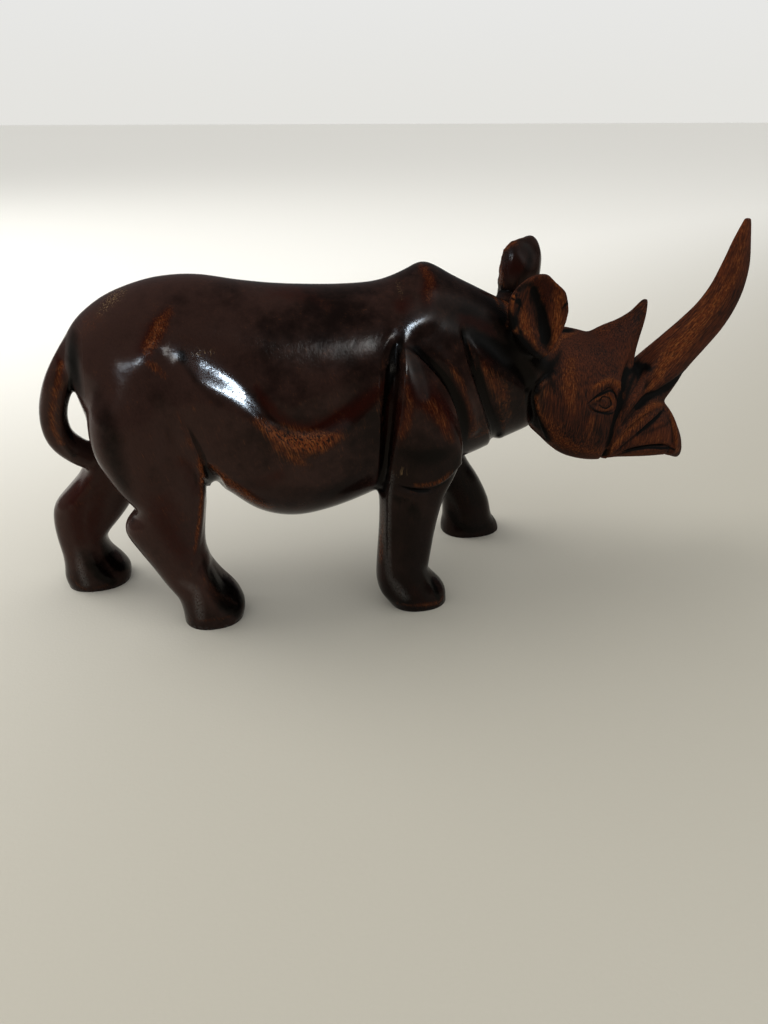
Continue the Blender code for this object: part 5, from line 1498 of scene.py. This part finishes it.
def room_light(stage):
    """An even pale surround. What the polish mirrors is dimmer, and dimmest low in front."""
    world = bpy.data.worlds.new("soft_surround")
    world.use_nodes = True
    world.cycles.sampling_method = "NONE"
    bpy.context.scene.world = world
    n = Nodes(world.node_tree)
    direction = n.add("ShaderNodeTexCoord").outputs["Generated"]
    ray = n.add("ShaderNodeLightPath").outputs
    back = n.step(n.along(direction, (-0.15, 0.75, 0.65)), -0.45, 0.55)
    mirrored = n.blend(back, stage.front_tone, stage.back_tone)
    above = n.step(n.along(direction, (0.0, 0.0, 1.0)), -0.01, 0.14)
    seen = n.blend(above, stage.horizon, stage.wall)
    tone = n.blend(ray["Is Glossy Ray"], stage.even_tone, mirrored)
    tone = n.blend(ray["Is Camera Ray"], tone, seen)
    n.put(world.node_tree.nodes["Background"].inputs["Color"], tone)


class FigureSizes(bpy.types.PropertyGroup):
    """The carving's sizes."""
    length: bpy.props.FloatProperty(
        name="Length", description="From the tail to the front horn's tip",
        default=HIGH.x - LOW.x, min=0.05, max=1.0, unit="LENGTH", subtype="DISTANCE",
    )
    width: bpy.props.FloatProperty(
        name="Width", description="Across the near and far sides",
        default=HIGH.y - LOW.y, min=0.01, max=0.4, unit="LENGTH", subtype="DISTANCE",
    )
    height: bpy.props.FloatProperty(
        name="Height", description="From the soles to the front horn's tip",
        default=HIGH.z - LOW.z, min=0.02, max=0.6, unit="LENGTH", subtype="DISTANCE",
    )
    voxel: bpy.props.FloatProperty(
        name="Cell", description="How finely the forms are fused, in pattern millimetres",
        default=0.62, min=0.4, max=2.0,
    )
    soften: bpy.props.FloatProperty(
        name="Soften", description="How far joins are rounded over, in pattern millimetres",
        default=3.4, min=0.5, max=8.0,
    )
    triangles: bpy.props.IntProperty(
        name="Triangles", description="How many triangles the finished figure has",
        default=190000, min=5000, max=199000,
    )


def colour_property(name, description, default):
    return bpy.props.FloatVectorProperty(
        name=name, description=description, default=default, size=4, min=0.0, max=1.0,
        subtype="COLOR",
    )


class WoodFinish(bpy.types.PropertyGroup):
    """The wood's stain, wear and polish."""
    stain: colour_property(
        "Stain", "The dark stain where it lies thickly", (0.0092, 0.0046, 0.0038, 1.0))
    thin_stain: colour_property(
        "Thin stain", "The stain where it lies thinly", (0.042, 0.0215, 0.0175, 1.0))
    brown_stain: colour_property(
        "Brown stain", "The thin brown stain of the head and horns", (0.110, 0.0270, 0.0090, 1.0))
    red_stain: colour_property(
        "Red stain", "The oxblood tone along the carved lines", (0.026, 0.0034, 0.0018, 1.0))
    deep_stain_and_shade: colour_property(
        # Colour of pooled stain and of the painted shade in hollows, under parts and on the legs
        "Deep stain", "The stain pooled in cuts and hollows", (0.0020, 0.0013, 0.0011, 1.0))
    rubbed_wood: colour_property(
        "Rubbed wood", "Wood whose stain is partly rubbed off", (0.118, 0.0285, 0.0075, 1.0))
    bare_wood: colour_property(
        "Bare wood", "Wood rubbed nearly bare", (0.285, 0.105, 0.029, 1.0))
    scratched_wood: colour_property(
        "Scratched wood", "Fine pale scratches", (0.20, 0.13, 0.065, 1.0))
    roughness: bpy.props.FloatProperty(
        name="Roughness", description="Of the polished wood", default=0.11, min=0.0,
        max=1.0, subtype="FACTOR",
    )


class StageSettings(bpy.types.PropertyGroup):
    """The table top, the light and the camera."""
    floor: colour_property("Table top", "The pale table top", (0.50, 0.475, 0.41, 1.0))
    # Painted fall-off of light: the table top is lighter away from the figure
    far_floor_painted_light: colour_property(
        "Table top away", "The table top away from the figure", (0.92, 0.91, 0.87, 1.0))
    # Painted light: the table top's faint glow, near the figure and far away
    near_glow: colour_property(
        "Near glow", "Light the table top sends back near the figure", (0.02, 0.02, 0.018, 1.0))
    glow: colour_property("Glow", "Light the far table top sends back", (0.05, 0.05, 0.05, 1.0))
    wall: colour_property("Wall", "The surround above the table", (0.74, 0.74, 0.73, 1.0))
    horizon: colour_property(
        "Horizon", "The surround at the table's height", (0.72, 0.715, 0.69, 1.0))
    even_tone: colour_property("Even light", "The light from all round", (0.76, 0.755, 0.735, 1.0))
    back_tone: colour_property(
        "Mirrored back", "What the polish mirrors behind and above", (0.13, 0.13, 0.135, 1.0))
    front_tone: colour_property(
        "Mirrored front", "What the polish mirrors low in front", (0.035, 0.034, 0.034, 1.0))
    key_power: bpy.props.FloatProperty(
        name="Key", description="Power of the large light at the left, in watts",
        default=12.0, min=0.0, max=200.0,
    )
    window_power: bpy.props.FloatProperty(
        name="Window", description="Power of the light mirrored in the flank, in watts",
        default=11.5, min=0.0, max=200.0,
    )
    side_power: bpy.props.FloatProperty(
        name="Side window", description="Power of the light mirrored in the hip, in watts",
        default=1.6, min=0.0, max=200.0,
    )
    camera_place: bpy.props.FloatVectorProperty(
        name="Camera", description="Where the camera stands", size=3,
        default=(-0.06897, -0.25192, 0.159), subtype="XYZ", unit="LENGTH",
    )
    camera_pitch: bpy.props.FloatProperty(
        name="Pitch", description="How far the camera looks down",
        default=math.radians(27.5), subtype="ANGLE", unit="ROTATION",
    )
    camera_yaw: bpy.props.FloatProperty(
        name="Yaw", description="How far the camera looks to the right",
        default=math.radians(13.4), subtype="ANGLE", unit="ROTATION",
    )
    lens: bpy.props.FloatProperty(
        name="Lens", description="Focal length in millimetres on a 36 mm frame",
        default=27.035, min=10.0, max=200.0,
    )


class CarveRhinoceros(bpy.types.Operator):
    """Carve the rhinoceros from its rough forms, then stain, wear and polish it"""
    bl_idname = "rhinoceros.carve"
    bl_label = "Carve Rhinoceros"
    bl_options = {"REGISTER", "UNDO"}

    def execute(self, context):
        sizes = context.scene.rhinoceros_sizes
        figure = bpy.data.objects.new("carved_rhinoceros", rough_forms())
        context.scene.collection.objects.link(figure)
        fuse(figure, sizes.voxel)
        soften(figure, sizes.voxel, sizes.soften)
        refine(figure, sizes.voxel, FINE_REACH)
        refine(figure, sizes.voxel, FINEST_REACH)
        carve(figure)
        curvature(figure)
        thin_out(figure, sizes.triangles)
        flatten_soles(figure)
        paint(figure)
        place_figure(figure, sizes)
        figure.data.materials.clear()
        figure.data.materials.append(stained_wood(context.scene.rhinoceros_finish))
        figure.data.shade_smooth()
        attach(figure, "root")
        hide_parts("rhinoceros")
        return {"FINISHED"}


class SetStage(bpy.types.Operator):
    """Lay the pale table top, light it softly and stand the camera before it"""
    bl_idname = "rhinoceros.stage"
    bl_label = "Set Stage"
    bl_options = {"REGISTER", "UNDO"}

    def execute(self, context):
        stage = context.scene.rhinoceros_stage
        form = bmesh.new()
        bmesh.ops.create_grid(form, x_segments=8, y_segments=8, size=12.0)
        mesh = mesh_of(form, "table_top")
        mesh.materials.append(pale_surface(stage))
        floor = bpy.data.objects.new("table_top", mesh)
        context.scene.collection.objects.link(floor)

        body, haunch = (0.0, 0.0, 0.06), (-0.055, -0.030, 0.085)
        add_light("key_light", 1.1, 1.3, stage.key_power, -118, 38, 1.5, body, False)
        add_light("window", 0.56, 0.25, stage.window_power, 40, 39, 1.2, haunch, True)
        add_light("side_window", 0.14, 0.14, stage.side_power, -50, 24, 1.2, haunch, True)
        room_light(stage)

        camera = bpy.data.objects.new("camera", bpy.data.cameras.new("camera"))
        context.scene.collection.objects.link(camera)
        context.scene.camera = camera
        camera.location = stage.camera_place
        pitch, yaw = stage.camera_pitch, stage.camera_yaw
        camera.rotation_mode = "QUATERNION"
        camera.rotation_quaternion = aimed((
            math.sin(yaw) * math.cos(pitch), math.cos(yaw) * math.cos(pitch), -math.sin(pitch),
        ))
        camera.data.lens = stage.lens
        camera.data.sensor_width = 36.0
        camera.data.clip_start = 0.01
        context.scene.view_settings.view_transform = "Standard"
        context.scene.view_settings.gamma = 0.88
        context.scene.view_settings.exposure = 0.16
        return {"FINISHED"}


class RhinocerosPanel(bpy.types.Panel):
    """The carving's operators and settings"""
    bl_idname = "VIEW3D_PT_rhinoceros"
    bl_label = "Carved Rhinoceros"
    bl_space_type = "VIEW_3D"
    bl_region_type = "UI"
    bl_category = "Rhinoceros"

    def draw(self, context):
        scene = context.scene
        for operator, group in (
            (CarveRhinoceros, scene.rhinoceros_sizes), (None, scene.rhinoceros_finish),
            (SetStage, scene.rhinoceros_stage),
        ):
            column = self.layout.column(align=True)
            for name in group.__annotations__:
                column.prop(group, name)
            if operator:
                column.operator(operator.bl_idname)


CLASSES = (
    FigureSizes, WoodFinish, StageSettings, CarveRhinoceros, SetStage, RhinocerosPanel,
)


def register():
    for item in CLASSES:
        bpy.utils.register_class(item)
    bpy.types.Scene.rhinoceros_sizes = bpy.props.PointerProperty(type=FigureSizes)
    bpy.types.Scene.rhinoceros_finish = bpy.props.PointerProperty(type=WoodFinish)
    bpy.types.Scene.rhinoceros_stage = bpy.props.PointerProperty(type=StageSettings)


def unregister():
    del bpy.types.Scene.rhinoceros_stage
    del bpy.types.Scene.rhinoceros_finish
    del bpy.types.Scene.rhinoceros_sizes
    for item in reversed(CLASSES):
        bpy.utils.unregister_class(item)


def main():
    register()
    bpy.ops.rhinoceros.carve()
    bpy.ops.rhinoceros.stage()


if __name__ == "__main__":
    main()
